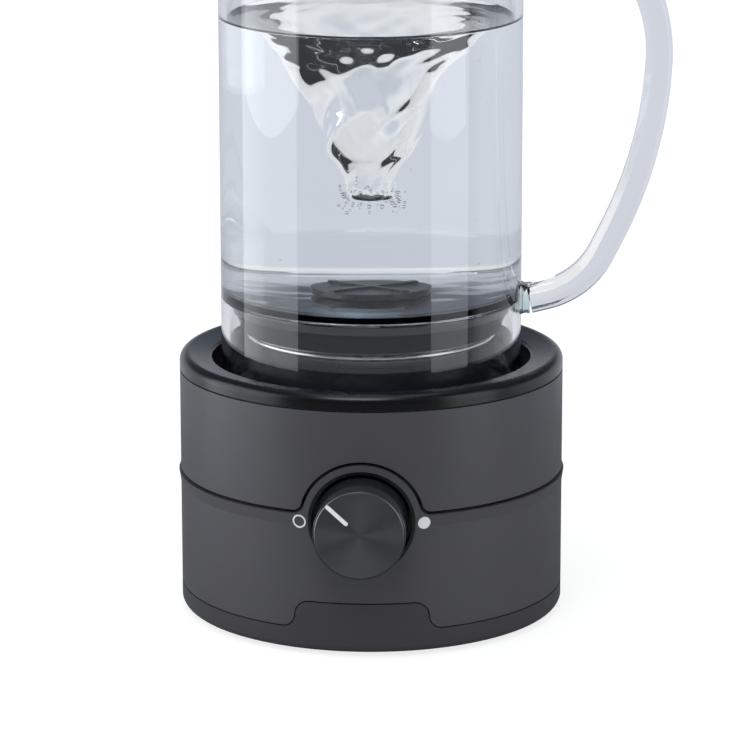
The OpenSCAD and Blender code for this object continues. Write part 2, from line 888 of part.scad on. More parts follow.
// Section of the handle: x runs outwards from the path, and the inner edge is chamfered
module handle_section(grow) {
  half = handle_t / 2 + grow;
  side = handle_w / 2 + grow;
  corner = 2.2;
  chamfer = 2.4;
  polygon(concat(
    arc([half - corner, side - corner], corner, 90, 0, 5),
    arc([half - corner, corner - side], corner, 0, -90, 5),
    [[chamfer - half, -side], [-half, chamfer - side], [-half, side - chamfer], [chamfer - half, side]]
  ));
}

// Draws a straight piece of the handle along +Z, then places what follows at its end
module straight(length) {
  translate([0, 0, -splice_l]) linear_extrude(height = length + 2 * splice_l) handle_section(splice);
  translate([0, 0, length]) children();
}

// Draws a bend of the handle that leaves along +Z and turns towards -X, then places what follows
module bend(r, angle, grow = 0) {
  lap = grow > 0 ? splice_l / r * 180 / PI : 0;
  translate([-r, 0, 0]) {
    rotate([0, lap, 0]) rotate([90, 0, 0]) rotate_extrude(angle = angle + 2 * lap) {
      translate([r, 0]) handle_section(grow);
    }
    rotate([0, -angle, 0]) translate([r, 0, 0]) children();
  }
}

module jar_handle() {
  spare = 3;
  start = [handle_x, handle_z] - spare * heading(handle_leave);
  color([0.88, 0.92, 0.95, 0.5]) difference() {
    translate([start[0], 0, start[1]]) rotate([0, 90 - handle_leave, 0]) {
      straight(lead_in + spare) bend(handle_r1, back_heading - handle_leave)
        straight(back_straight) bend(handle_r2, upper_heading - back_heading)
          bend(handle_r3, top_heading - upper_heading, splice)
            bend(handle_r4, end_heading - top_heading) straight(handle_tail + spare);
    }
    translate([0, -handle_w, seat_z - 50]) cube([handle_x, 2 * handle_w, jar_top]);
  }
}

module handle_pads() {
  color([0.75, 0.87, 0.85, 0.6]) for (z = [handle_z, handle_end_z]) difference() {
    translate([jar_in, -pad_w / 2, z - pad_h / 2]) cube([handle_x - jar_in, pad_w, pad_h]);
    rod(jar_d, z - pad_h, z + pad_h);
  }
}

module stir_disc() {
  top = stirrer_z + stirrer_t;
  color("#1b1b1e") difference() {
    union() {
      rod(stirrer_d, stirrer_z, top);
      for (a = [0, 90]) rotate([0, 0, a + 45]) {
        translate([1 - stirrer_d / 2, -1, top - 0.5]) cube([stirrer_d - 2, 2, vane_h + 0.5]);
      }
    }
    magnet_ring(stir_magnet_d, stirrer_z - 1, stirrer_z + stir_magnet_h);
    rod(4, stirrer_z - 1, stirrer_z + stir_magnet_h);
  }
}

module stir_magnets() {
  color("#8f9298") magnet_ring(stir_magnet_d, stirrer_z, stirrer_z + stir_magnet_h);
}

module stir_button() {
  color("#f2f2ee") {
    rod(4, stirrer_z - 0.2, stirrer_z + stir_magnet_h);
    rod(2.4, floor_z + 0.05, stirrer_z);
  }
}

module lid_cap() {
  crown = [for (i = [0:6]) let (x = cap_flat_r + (lid_r - 2 - cap_flat_r) * (6 - i) / 6)
    [x, cap_top - cap_crown * pow((x - cap_flat_r) / (lid_r - 2 - cap_flat_r), 2)]];
  color("#1c1c1f") difference() {
    rotate_extrude() polygon(concat(
      [[0, jar_top], [lid_r - 1, jar_top], [lid_r, jar_top + 1], [lid_r, jar_top + cap_edge_h - 1.2]],
      crown,
      [[0, cap_top]]
    ));
    rod(grip_screw_d, jar_top - 1, cap_top + 1);
    rotate([0, 0, 180 - pour_angle / 2]) rotate_extrude(angle = pour_angle) {
      translate([pour_in, jar_top - 1]) square([pour_out - pour_in, cap_crown + cap_edge_h + 2]);
    }
  }
}

module lid_plug() {
  color("#232326") difference() {
    ring(plug_r, plug_in, jar_top - plug_h, jar_top);
    ring(plug_r + 1, plug_r - seal_seat, seal_z - seal_h / 2, seal_z + seal_h / 2);
  }
}

module lid_seal() {
  seal_r = jar_in - seal_gap;
  color("#d7d7d3") rotate_extrude() {
    translate([plug_r - seal_seat, seal_z - seal_h / 2]) square([seal_seat, seal_h]);
    translate([seal_r - seal_round, seal_z]) circle(r = seal_round);
  }
}

module lid_strainer() {
  color("#c4c7cc") difference() {
    rod(2 * plug_in, strainer_z, strainer_z + strainer_t);
    for (k = [1:strainer_rings]) for (i = [0:6 * k - 1]) rotate([0, 0, i * 60 / k]) {
      translate([k * strainer_step, 0, strainer_z - 1]) cylinder(d = strainer_hole_d, h = strainer_t + 2);
    }
  }
}

module lid_grip() {
  top = cap_top + grip_h;
  color("#1c1c1f") difference() {
    rotate_extrude() polygon(concat(
      [[0, cap_top], [grip_stem_r, cap_top], [grip_stem_r, top - 8]],
      arc([grip_r - 2.5, top - 5.5], 2.5, -90, 0),
      arc([grip_r - 4, top - 4], 4, 0, 90),
      [[0, top]]
    ));
    rod(grip_screw_d, cap_top - 1, cap_top + 8);
  }
}

module lid_screw() {
  color("silver") {
    rod(8, jar_top - 2.4, jar_top);
    rod(grip_screw_d, jar_top - 1, cap_top + 8);
  }
}

base_tray();
foot_ring();
case_screws();
lower_shell();
upper_sleeve();
top_housing();
knob_well();
dial_marks();
cord_gland();
drive_housing();
drive_screws();
trim_ring();
jar_rest();
motor_bracket();
motor_dampers();
bracket_screws();
motor_can();
motor_end_cap();
field_magnets();
brushes();
motor_bushes();
motor_screws();
motor_shaft();
armature_core();
armature_windings();
commutator();
magnet_carrier();
drive_magnets();
control_board();
board_screws();
capacitors();
terminal_block();
heat_sink();
motor_leads();
control_leads();
speed_control();
control_nut();
control_shaft();
knob();
knob_face();
knob_pointer();
jar_glass();
jar_handle();
handle_pads();
stir_disc();
stir_magnets();
stir_button();
lid_cap();
lid_plug();
lid_seal();
lid_strainer();
lid_grip();
lid_screw();
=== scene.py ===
"""Cold brew coffee maker: the finishes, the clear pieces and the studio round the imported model."""
import json
import logging
import math
import random
from collections.abc import Iterable, Sequence
from dataclasses import dataclass, field
from enum import Enum

import bmesh
import bpy
from mathutils import Matrix, Vector


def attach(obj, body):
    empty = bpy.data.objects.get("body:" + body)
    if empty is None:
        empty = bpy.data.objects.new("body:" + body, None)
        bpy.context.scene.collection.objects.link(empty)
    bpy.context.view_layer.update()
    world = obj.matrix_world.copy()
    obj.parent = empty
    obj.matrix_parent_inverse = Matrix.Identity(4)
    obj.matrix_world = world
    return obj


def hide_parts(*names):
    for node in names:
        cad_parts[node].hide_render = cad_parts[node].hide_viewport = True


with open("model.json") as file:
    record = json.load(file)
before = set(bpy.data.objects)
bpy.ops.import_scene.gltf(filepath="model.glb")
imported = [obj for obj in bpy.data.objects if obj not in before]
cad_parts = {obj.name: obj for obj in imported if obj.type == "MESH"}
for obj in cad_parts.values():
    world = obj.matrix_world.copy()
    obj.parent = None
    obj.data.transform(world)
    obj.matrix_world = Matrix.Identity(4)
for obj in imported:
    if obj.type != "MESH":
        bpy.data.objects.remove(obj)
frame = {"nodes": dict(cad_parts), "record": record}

LOG = logging.getLogger("coffee_maker")
MM = 0.001

CREASE_DEG = 32.0

Colour = tuple[float, float, float]
Point = tuple[float, float]
Corner = tuple[float, float, float]
Piece = bpy.types.Object
Socket = bpy.types.NodeSocket
Mesh = bmesh.types.BMesh
Vertex = bmesh.types.BMVert


class Slot(Enum):
    """The record's material slots."""

    SHELL_GREY = "shell_grey"
    TRAY_GREY = "tray_grey"
    RIM_BLACK = "rim_black"
    GLOSS_BLACK = "gloss_black"
    SOFT_BLACK = "soft_black"
    PRINT_WHITE = "print_white"
    BRIGHT_TRIM = "bright_trim"
    KNOB_METAL = "knob_metal"
    STEEL = "steel"
    MOTOR_STEEL = "motor_steel"
    MAGNET_GREY = "magnet_grey"
    COPPER_RED = "copper_red"
    BRONZE = "bronze"
    CARBON_BLACK = "carbon_black"
    NYLON_WHITE = "nylon_white"
    BOARD_GREEN = "board_green"
    TERMINAL_GREEN = "terminal_green"
    SLEEVE_BLUE = "sleeve_blue"
    BARE_ALUMINIUM = "bare_aluminium"
    LEAD_RED = "lead_red"
    LEAD_YELLOW = "lead_yellow"
    CLEAR_GLASS = "clear_glass"
    HANDLE_GLASS = "handle_glass"
    PAD_GLASS = "pad_glass"
    STIR_BLACK = "stir_black"
    LID_BLACK = "lid_black"
    SEAL_PALE = "seal_pale"


class Grain(Enum):
    """The way in which a metal was worked."""

    BRUSHED = (1.0, 1.0, 0.04)
    TURNED = (0.05, 0.05, 1.0)
    CAST = (1.0, 1.0, 1.0)


def linear(red: int, green: int, blue: int) -> Colour:
    """Turns a colour as a screen shows it, 0 to 255, into a shader's linear colour."""
    return tuple(((v / 255 + 0.055) / 1.055) ** 2.4 if v > 10 else v / 3294.6 for v in (red, green, blue))


def scaled(colour: Colour, factor: float) -> Colour:
    """Makes a colour darker or lighter by a factor."""
    return tuple(min(1.0, v * factor) for v in colour)


class Graph:
    """A material's nodes, with short calls to add, set and join them."""

    def __init__(self, name: str) -> None:
        """Starts an empty material.

        Args:
            name: The material's name.
        """
        self.material = bpy.data.materials.new(name)
        self.material.use_nodes = True
        self.nodes = self.material.node_tree.nodes
        self.links = self.material.node_tree.links
        self.nodes.clear()
        self.output = self.add("ShaderNodeOutputMaterial")
        self.place = self.add("ShaderNodeTexCoord").outputs["Object"]

    def add(self, kind: str, inputs: dict | None = None, **settings) -> bpy.types.Node:
        """Adds a node.

        Args:
            kind: The node's type.
            inputs: Values or sockets for its inputs, by name or number.
            **settings: Properties of the node.

        Returns:
            The node.
        """
        node = self.nodes.new(kind)
        for key, value in settings.items():
            setattr(node, key, value)
        for key, value in (inputs or {}).items():
            self.feed(node.inputs[key], value)
        return node

    def feed(self, socket: Socket, value: object) -> None:
        """Sets an input to a value, or joins it to another node's output.

        Args:
            socket: The input.
            value: The value, a colour of three numbers or the output to join.
        """
        if isinstance(value, Socket):
            self.links.new(value, socket)
        elif isinstance(value, tuple) and len(value) == 3 and socket.type == "RGBA":
            socket.default_value = (*value, 1.0)
        else:
            socket.default_value = value

    def noise(self, size_mm: float, detail: float = 2.0, stretch: Colour = (1.0, 1.0, 1.0)) -> Socket:
        """Adds a noise.

        Args:
            size_mm: The size of its features.
            detail: How many finer layers it has.
            stretch: Its scale along X, Y and Z, where less is longer.

        Returns:
            The noise's value, from 0 to 1.
        """
        turned = self.add("ShaderNodeMapping", {"Vector": self.place, "Scale": stretch})
        values = {"Vector": turned.outputs[0], "Scale": 1 / (size_mm * MM), "Detail": detail}
        return self.add("ShaderNodeTexNoise", values).outputs["Fac"]

    def between(self, value: Socket, low: float, high: float) -> Socket:
        """Spreads a noise's middle range over the numbers from low to high."""
        return self.faded(value, 0.3, 0.7, low, high)

    def mixed(self, factor: Socket, first: Colour, second: Colour) -> Socket:
        """Mixes two colours.

        Args:
            factor: How much of the second colour there is, from 0 to 1.
            first: The first colour.
            second: The second colour.

        Returns:
            The mixed colour.
        """
        node = self.add("ShaderNodeMix", data_type="RGBA")
        for key, value in (("Factor_Float", factor), ("A_Color", first), ("B_Color", second)):
            self.feed(next(s for s in node.inputs if s.identifier == key), value)
        return next(s for s in node.outputs if s.identifier == "Result_Color")

    def bump(self, height: Socket, depth_mm: float) -> Socket:
        """Turns a height into a normal.

        Args:
            height: The height, from 0 to 1.
            depth_mm: What a height of 1 stands for.

        Returns:
            The normal.
        """
        values = {"Height": height, "Distance": depth_mm * MM, "Strength": 1.0}
        return self.add("ShaderNodeBump", values).outputs["Normal"]

    def faded(self, value: Socket, start: float, end: float, low: float = 0.0, high: float = 1.0) -> Socket:
        """Adds a ramp.

        Args:
            value: The number that drives it.
            start: The number at which it leaves low.
            end: The number at which it reaches high.
            low: What it gives before its start.
            high: What it gives beyond its end.

        Returns:
            The ramp's value.
        """
        values = {"Value": value, "From Min": start, "From Max": end, "To Min": low, "To Max": high}
        return self.add("ShaderNodeMapRange", values).outputs["Result"]

    def either(self, factor: Socket, first: Socket, second: Socket) -> Socket:
        """Mixes two shaders by a factor."""
        return self.add("ShaderNodeMixShader", {0: factor, 1: first, 2: second}).outputs[0]

    def shine(self, inputs: dict) -> Socket:
        """Adds the surface shader with its inputs by name."""
        return self.add("ShaderNodeBsdfPrincipled", inputs).outputs[0]

    def close(self, shader: Socket) -> bpy.types.Material:
        """Joins the shader to the output and returns the material."""
        self.links.new(shader, self.output.inputs["Surface"])
        return self.material


class Finish:
    """A finish, whose material is made once and shared."""

    name: str
    _made: dict[str, bpy.types.Material] = {}

    def material(self) -> bpy.types.Material:
        """Gives the finish's material, which is made on first use.

        Returns:
            The material.
        """
        if self.name not in Finish._made:
            Finish._made[self.name] = self.mix()
        return Finish._made[self.name]

    def mix(self) -> bpy.types.Material:
        """Makes the material.

        Returns:
            The material.
        """
        raise NotImplementedError


@dataclass(frozen=True)
class Moulded(Finish):
    """Moulded plastic or rubber with a fine texture, faint mottling and an uneven gloss."""

    name: str
    colour: Colour
    roughness: float
    texture_mm: float = 0.4
    depth_mm: float = 0.006
    mottle: float = 0.06
    drift: float = 0.05
    coat: float = 0.0
    sheen: float = 0.0
    mottle_mm: float = 38.0
    smudge_mm: float = 14.0

    def mix(self) -> bpy.types.Material:
        """Makes the material.

        Returns:
            The material.
        """
        g = Graph(self.name)
        broad = g.between(g.noise(self.mottle_mm, 3.0), 0, 1)
        fine = g.noise(self.texture_mm, 3.0)
        colour = g.mixed(broad, scaled(self.colour, 1 - self.mottle), scaled(self.colour, 1 + self.mottle))
        smudge = g.noise(self.smudge_mm, 4.0)
        return g.close(g.shine({
            "Base Color": colour,
            "Roughness": g.between(smudge, self.roughness - self.drift, self.roughness + self.drift),
            "Coat Weight": self.coat,
            "Coat Roughness": 0.06,
            "Sheen Weight": self.sheen,
            "Normal": g.bump(fine, self.depth_mm),
        }))


@dataclass(frozen=True)
class Worked(Finish):
    """Metal with the marks of the tool that worked it."""

    name: str
    colour: Colour
    roughness: float
    grain: Grain = Grain.BRUSHED
    grain_mm: float = 0.25
    depth_mm: float = 0.004
    spread: float = 0.12
    stain_mm: float = 9.0

    def mix(self) -> bpy.types.Material:
        """Makes the material.

        Returns:
            The material.
        """
        g = Graph(self.name)
        marks = g.noise(self.grain_mm, 4.0, self.grain.value)
        stain = g.noise(self.stain_mm, 3.0)
        colour = g.mixed(g.between(stain, 0, 1), scaled(self.colour, 0.9), self.colour)
        rough = g.between(marks, max(0.02, self.roughness - self.spread / 2), self.roughness + self.spread)
        return g.close(g.shine({
            "Base Color": colour,
            "Metallic": 1.0,
            "Roughness": rough,
            "Normal": g.bump(marks, self.depth_mm),
        }))


@dataclass(frozen=True)
class Spun(Finish):
    """A disc turned on a lathe, whose fine rings throw cones of light."""

    name: str
    colour: Colour
    roughness: float
    pitch_mm: float = 0.16
    depth_mm: float = 0.002
    anisotropy: float = 0.9

    def mix(self) -> bpy.types.Material:
        """Makes the material.

        Returns:
            The material.
        """
        g = Graph(self.name)
        flat = g.add("ShaderNodeMapping", {"Vector": g.place, "Scale": (1.0, 0.0, 1.0)})
        reach = g.add("ShaderNodeVectorMath", {0: flat.outputs[0]}, operation="LENGTH").outputs["Value"]
        along = g.add("ShaderNodeCombineXYZ", {"X": reach}).outputs[0]
        turns = {"Vector": along, "Scale": 1 / (self.pitch_mm * MM), "Detail": 3.0}
        rings = g.add("ShaderNodeTexNoise", turns).outputs["Fac"]
        colour = g.mixed(g.between(rings, 0, 1), scaled(self.colour, 0.82), scaled(self.colour, 1.12))
        return g.close(g.shine({
            "Base Color": colour,
            "Metallic": 1.0,
            "Roughness": g.between(rings, self.roughness - 0.04, self.roughness + 0.05),
            "Anisotropic": self.anisotropy,
            "Normal": g.bump(rings, self.depth_mm),
            "Tangent": g.add("ShaderNodeTangent", direction_type="RADIAL", axis="Y").outputs[0],
        }))


@dataclass(frozen=True)
class Clear(Finish):
    """Glass, clear plastic or water, which lets lamps through."""

    name: str
    tint: Colour
    ior: float
    roughness: float = 0.0
    ripple_mm: float = 30.0
    ripple_depth_mm: float = 0.02
    shade: Colour = (0.86, 0.88, 0.9)
    cloud_mm: float = 60.0
    haze_mm: float = 20.0
    haze: float = 0.008

    def mix(self) -> bpy.types.Material:
        """Makes the material.

        Returns:
            The material.
        """
        g = Graph(self.name)
        wave = g.noise(self.ripple_mm, 1.0)
        tint = g.mixed(g.between(g.noise(self.cloud_mm), 0, 1), self.tint, scaled(self.tint, 0.985))
        body = g.shine({
            "Base Color": tint,
            "Roughness": g.between(g.noise(self.haze_mm), self.roughness, self.roughness + self.haze),
            "IOR": self.ior,
            "Transmission Weight": 1.0,
            "Normal": g.bump(wave, self.ripple_depth_mm),
        })
        open_way = g.add("ShaderNodeBsdfTransparent", {"Color": self.shade}).outputs[0]
        lamps = g.add("ShaderNodeLightPath").outputs["Is Shadow Ray"]
        return g.close(g.either(lamps, body, open_way))


@dataclass(frozen=True)
class Laminate(Finish):
    """A circuit board with its tracks under the green lacquer."""

    name: str
    colour: Colour
    track_mm: float = 3.0

    def mix(self) -> bpy.types.Material:
        """Makes the material.

        Returns:
            The material.
        """
        g = Graph(self.name)
        values = {"Vector": g.place, "Scale": 1 / (self.track_mm * MM)}
        cell = g.add("ShaderNodeTexVoronoi", values, distance="MANHATTAN")
        tracks = g.between(cell.outputs["Distance"], 0, 1)
        return g.close(g.shine({
            "Base Color": g.mixed(tracks, scaled(self.colour, 1.5), self.colour),
            "Roughness": g.between(g.noise(5.0), 0.28, 0.4),
            "Coat Weight": 0.4,
            "Normal": g.bump(tracks, 0.03),
        }))


@dataclass(frozen=True)
class Wound(Finish):
    """Turns of enamelled copper wire, with painted shade darkening the grooves between turns."""

    name: str
    colour: Colour
    wire_mm: float = 0.4

    def mix(self) -> bpy.types.Material:
        """Makes the material.

        Returns:
            The material.
        """
        g = Graph(self.name)
        values = {"Vector": g.place, "Scale": 0.5 / (self.wire_mm * MM), "Distortion": 1.2}
        turns = g.add("ShaderNodeTexWave", values, bands_direction="Z").outputs["Fac"]
        # The base colour halves in the grooves between turns: painted shade.
        return g.close(g.shine({
            "Base Color": g.mixed(turns, scaled(self.colour, 0.5), self.colour),
            "Metallic": 1.0,
            "Roughness": g.between(turns, 0.25, 0.45),
            "Normal": g.bump(turns, 0.1),
        }))


FINISHES: dict[Slot, Finish] = {
    Slot.SHELL_GREY: Moulded("shell_grey", linear(73, 72, 77), 0.42, 0.5, 0.002, 0.03, 0.03),
    Slot.TRAY_GREY: Moulded("tray_grey", linear(62, 61, 65), 0.36, 0.3, 0.004, 0.03, 0.03),
    Slot.RIM_BLACK: Moulded("rim_black", linear(17, 17, 20), 0.27, 0.6, 0.0006, 0.02, 0.015),
    Slot.GLOSS_BLACK: Moulded("gloss_black", linear(38, 41, 46), 0.14, 6.0, 0.001, 0.04, 0.03, coat=0.6),
    Slot.SOFT_BLACK: Moulded("soft_black", linear(22, 22, 24), 0.22, 1.5, 0.0012, 0.04, 0.03),
    Slot.PRINT_WHITE: Moulded("print_white", linear(236, 236, 238), 0.5, 0.2, 0.003, 0.03, 0.04),
    Slot.BRIGHT_TRIM: Worked("bright_trim", linear(228, 228, 231), 0.27, Grain.TURNED, 0.3, 0.001, 0.05),
    Slot.KNOB_METAL: Spun("knob_metal", linear(128, 128, 131), 0.3),
    Slot.STEEL: Worked("steel", linear(196, 198, 202), 0.26, Grain.BRUSHED),
    Slot.MOTOR_STEEL: Worked("motor_steel", linear(150, 152, 156), 0.34, Grain.TURNED),
    Slot.MAGNET_GREY: Worked("magnet_grey", linear(120, 122, 126), 0.42, Grain.CAST, 0.6, 0.02),
    Slot.COPPER_RED: Wound("copper_red", linear(206, 128, 84)),
    Slot.BRONZE: Worked("bronze", linear(190, 150, 100), 0.35, Grain.TURNED),
    Slot.CARBON_BLACK: Moulded("carbon_black", linear(44, 44, 46), 0.55, 0.3, 0.015, 0.1, 0.08),
    Slot.NYLON_WHITE: Moulded("nylon_white", linear(228, 226, 216), 0.4, 0.4, 0.006, 0.03, 0.05),
    Slot.BOARD_GREEN: Laminate("board_green", linear(34, 96, 58)),
    Slot.TERMINAL_GREEN: Moulded("terminal_green", linear(52, 128, 74), 0.5),
    Slot.SLEEVE_BLUE: Moulded("sleeve_blue", linear(34, 40, 62), 0.3),
    Slot.BARE_ALUMINIUM: Worked("bare_aluminium", linear(198, 200, 204), 0.34, Grain.CAST),
    Slot.LEAD_RED: Moulded("lead_red", linear(178, 42, 34), 0.45),
    Slot.LEAD_YELLOW: Moulded("lead_yellow", linear(208, 170, 58), 0.45),
    Slot.CLEAR_GLASS: Clear("clear_glass", (0.985, 0.992, 0.995), 1.5, ripple_depth_mm=0.01),
    Slot.HANDLE_GLASS: Clear("handle_glass", (0.995, 0.995, 1.0), 1.5, ripple_mm=22.0, ripple_depth_mm=0.03),
    Slot.PAD_GLASS: Clear("pad_glass", (0.78, 0.9, 0.87), 1.5, 0.05, 4.0, 0.04),
    Slot.STIR_BLACK: Moulded("stir_black", linear(28, 28, 30), 0.3),
    Slot.LID_BLACK: Moulded("lid_black", linear(30, 30, 33), 0.3, 0.3, 0.005),
    Slot.SEAL_PALE: Moulded("seal_pale", linear(214, 214, 208), 0.45, 0.3, 0.008, sheen=0.1),
}
WATER = Clear("water", (0.985, 0.992, 1.0), 1.333, 0.0, 18.0, 0.02, (0.92, 0.94, 0.97))


def rounded(corners: Sequence[Corner], steps: int = 8, hold: float = 0.12) -> list[Point]:
    """Rounds the corners of a closed outline.

    Args:
        corners: Each corner's place and its radius, 0 for a sharp one.
        steps: How many straight pieces stand for each round corner.
        hold: How far beyond each arc a point keeps the long face beside it flat in its shading.

    Returns:
        The outline's points.
    """
    outline: list[Point] = []
    count = len(corners)
    for i, (x, z, radius) in enumerate(corners):
        here = Vector((x, z))
        if radius <= 0:
            outline.append((x, z))
            continue
        back = (Vector(corners[i - 1][:2]) - here).normalized()
        ahead = (Vector(corners[(i + 1) % count][:2]) - here).normalized()
        half = back.angle(ahead) / 2
        centre = here + (back + ahead).normalized() * (radius / math.sin(half))
        start = here + back * (radius / math.tan(half)) - centre
        sweep = math.copysign(math.pi - 2 * half, -back.cross(ahead))
        arc = [centre + Matrix.Rotation(sweep * k / steps, 2) @ start for k in range(steps + 1)]
        outline += [tuple(point) for point in (arc[0] + back * hold, *arc, arc[-1] + ahead * hold)]
    return outline


def bridged(bm: Mesh, ring: Sequence[Vertex], follow: Sequence[Vertex]) -> None:
    """Joins two rings of a mesh with faces.

    Args:
        bm: The mesh.
        ring: The first ring, or one vertex where the shape comes to a point.
        follow: The next ring, likewise.
    """
    count = max(len(ring), len(follow))
    if count == 1:
        return
    for k in range(count):
        j = (k + 1) % count
        near = (ring[k % len(ring)], ring[j % len(ring)])
        far = (follow[j % len(follow)], follow[k % len(follow)])
        bm.faces.new(list(dict.fromkeys(near + far)))


def finished(name: str, bm: Mesh, crease_deg: float = CREASE_DEG) -> Piece:
    """Turns a bmesh into an object with smooth faces and sharp creases.

    Args:
        name: The object's name.
        bm: The mesh, which is freed.
        crease_deg: The angle from which an edge is sharp.

    Returns:
        The object, linked to the scene.
    """
    mesh = bpy.data.meshes.new(name)
    bm.to_mesh(mesh)
    bm.free()
    mesh.polygons.foreach_set("use_smooth", [True] * len(mesh.polygons))
    mesh.set_sharp_from_angle(angle=math.radians(crease_deg))
    piece = bpy.data.objects.new(name, mesh)
    bpy.context.scene.collection.objects.link(piece)
    return piece


def revolved(name: str, outline: Sequence[Point], segments: int = 192) -> Piece:
    """Turns a closed outline round the Z axis.

    Args:
        name: The object's name.
        outline: Radius and height of each point, in millimetres.
        segments: How many steps go round.

    Returns:
        The object.
    """
    bm = bmesh.new()
    rings = []
    for radius, z in outline:
        count = 1 if radius < 1e-6 else segments
        angles = [2 * math.pi * k / segments for k in range(count)]
        places = [(radius * MM * math.cos(a), radius * MM * math.sin(a), z * MM) for a in angles]
        rings.append([bm.verts.new(place) for place in places])
    for i, ring in enumerate(rings):
        bridged(bm, ring, rings[(i + 1) % len(rings)])
    bmesh.ops.recalc_face_normals(bm, faces=bm.faces)
    return finished(name, bm)


def swept(name: str, stations: Sequence[Matrix], section: Sequence[Point]) -> Piece:
    """Carries a closed section along a row of stations and closes both ends.

    Args:
        name: The object's name.
        stations: Where each copy of the section stands, in metres.
        section: The section's points in its own X and Y, in millimetres.

    Returns:
        The object.
    """
    bm = bmesh.new()
    flat = [Vector((x * MM, y * MM, 0)) for x, y in section]
    rings = [[bm.verts.new(station @ point) for point in flat] for station in stations]
    for ring, follow in zip(rings, rings[1:]):
        bridged(bm, ring, follow)
    bm.faces.new(rings[0])
    bm.faces.new(reversed(rings[-1]))
    bmesh.ops.recalc_face_normals(bm, faces=bm.faces)
    return finished(name, bm)


def carved(piece: Piece, cutters: Iterable[Piece]) -> Piece:
    """Cuts other solids out of a piece and removes them.

    Args:
        piece: The piece to cut.
        cutters: The solids to take away.

    Returns:
        The piece, with its new mesh.
    """
    cutters = list(cutters)
    for cutter in cutters:
        cut = piece.modifiers.new("cut", "BOOLEAN")
        cut.operation, cut.solver, cut.object = "DIFFERENCE", "EXACT", cutter
    bpy.context.view_layer.update()
    mesh = bpy.data.meshes.new_from_object(piece.evaluated_get(bpy.context.evaluated_depsgraph_get()))
    piece.modifiers.clear()
    piece.data = mesh
    mesh.set_sharp_from_angle(angle=math.radians(CREASE_DEG))
    for cutter in cutters:
        bpy.data.objects.remove(cutter)
    return piece


def slot_of(node: str) -> Slot:
    """Finds a node's material slot in the record."""
    return next(Slot(row["material_slot"]) for row in frame["record"]["subparts"] if row["node"] == node)


def dress(piece: Piece, finish: Finish) -> Piece:
    """Gives a piece one finish all over.

    Args:
        piece: The piece.
        finish: Its finish.

    Returns:
        The piece.
    """
    piece.data.materials.clear()
    piece.data.materials.append(finish.material())
    return piece


@dataclass
class Assembly:
    """A sub-assembly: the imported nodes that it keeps, and the pieces that it builds."""

    body: str
    kept: tuple[str, ...]
    pieces: list[Piece] = field(default_factory=list, init=False)

    def build(self) -> None:
        """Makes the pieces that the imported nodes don't show well enough."""

    def dress_kept(self) -> None:
        """Gives each kept node the finish of its slot."""
        for node in self.kept:
            dress(frame["nodes"][node], FINISHES[slot_of(node)])

    def keep(self, piece: Piece, finish: Finish, slot: Slot, *nodes: str) -> Piece:
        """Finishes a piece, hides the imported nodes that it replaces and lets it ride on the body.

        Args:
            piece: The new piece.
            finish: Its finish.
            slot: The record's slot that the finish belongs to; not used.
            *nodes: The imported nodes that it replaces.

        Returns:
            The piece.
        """
        dress(piece, finish)
        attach(piece, self.body)
        if nodes:
            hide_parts(*nodes)
        self.pieces.append(piece)
        return piece

    def report(self) -> None:
        """Logs each piece and node."""
        for piece in self.pieces:
            LOG.info("%s: built %s with %d faces", self.body, piece.name, len(piece.data.polygons))
        for node in self.kept:
            LOG.info("%s: dressed %s", self.body, node)

    def run(self) -> None:
        """Dresses, builds and reports."""
        self.dress_kept()
        self.build()
        self.report()


@dataclass
class Casing(Assembly):
    """The tray, the shells and the rim, with the screws that hold them."""

    body: str = "base"
    kept: tuple[str, ...] = (
        "base_tray", "foot_ring", "case_screws", "lower_shell", "upper_sleeve", "knob_well", "dial_marks",
        "cord_gland",
    )
    skirt_bottom: float = 50.1
    skirt_r: Point = (68.5, 70.5)
    base_r: float = 73.0
    sleeve_top: float = 94.0
    crest_z: float = 100.55
    lip: Point = (60.5, 98.3)
    wall_t: float = 2.0
    ledge_w: float = 6.5
    ledge_z: Point = (82.0, 84.0)
    seam_h: float = 2.0
    edge_r: float = 0.3
    seam_r: float = 0.15
    crest_r: float = 3.2
    lip_r: float = 1.3
    knob_z: float = 51.6
    knob_hole_r: float = 20.3
    knob_hole_depth: float = 30.0

    def build(self) -> None:
        """Makes the rim with its well and skirt."""
        well_r = self.lip[0]
        under = self.sleeve_top + self.seam_h
        outline = rounded([
            (self.skirt_r[0], self.skirt_bottom, self.edge_r),
            (self.skirt_r[1], self.skirt_bottom, self.edge_r),
            (self.skirt_r[1], self.sleeve_top, 0),
            (self.base_r, self.sleeve_top, self.seam_r),
            (self.base_r, self.crest_z, self.crest_r),
            (well_r, self.lip[1], self.lip_r),
            (well_r, self.ledge_z[1], 0),
            (well_r - self.ledge_w, self.ledge_z[1], 0),
            (well_r - self.ledge_w, self.ledge_z[0], self.edge_r),
            (well_r + self.wall_t, self.ledge_z[0], self.edge_r),
            (well_r + self.wall_t, under, self.edge_r),
            (self.skirt_r[0], under, self.edge_r),
        ], 12)
        housing = revolved("rim_and_well", outline, 256)
        bm = bmesh.new()
        radius = self.knob_hole_r * MM
        place = Matrix.Translation((0, -self.base_r * MM, self.knob_z * MM))
        bmesh.ops.create_cone(
            bm, cap_ends=True, segments=96, radius1=radius, radius2=radius,
            depth=self.knob_hole_depth * MM, matrix=place @ Matrix.Rotation(math.pi / 2, 4, "X"),
        )
        carved(housing, [finished("knob_bore", bm)])
        self.keep(housing, FINISHES[Slot.RIM_BLACK], Slot.RIM_BLACK, "top_housing")


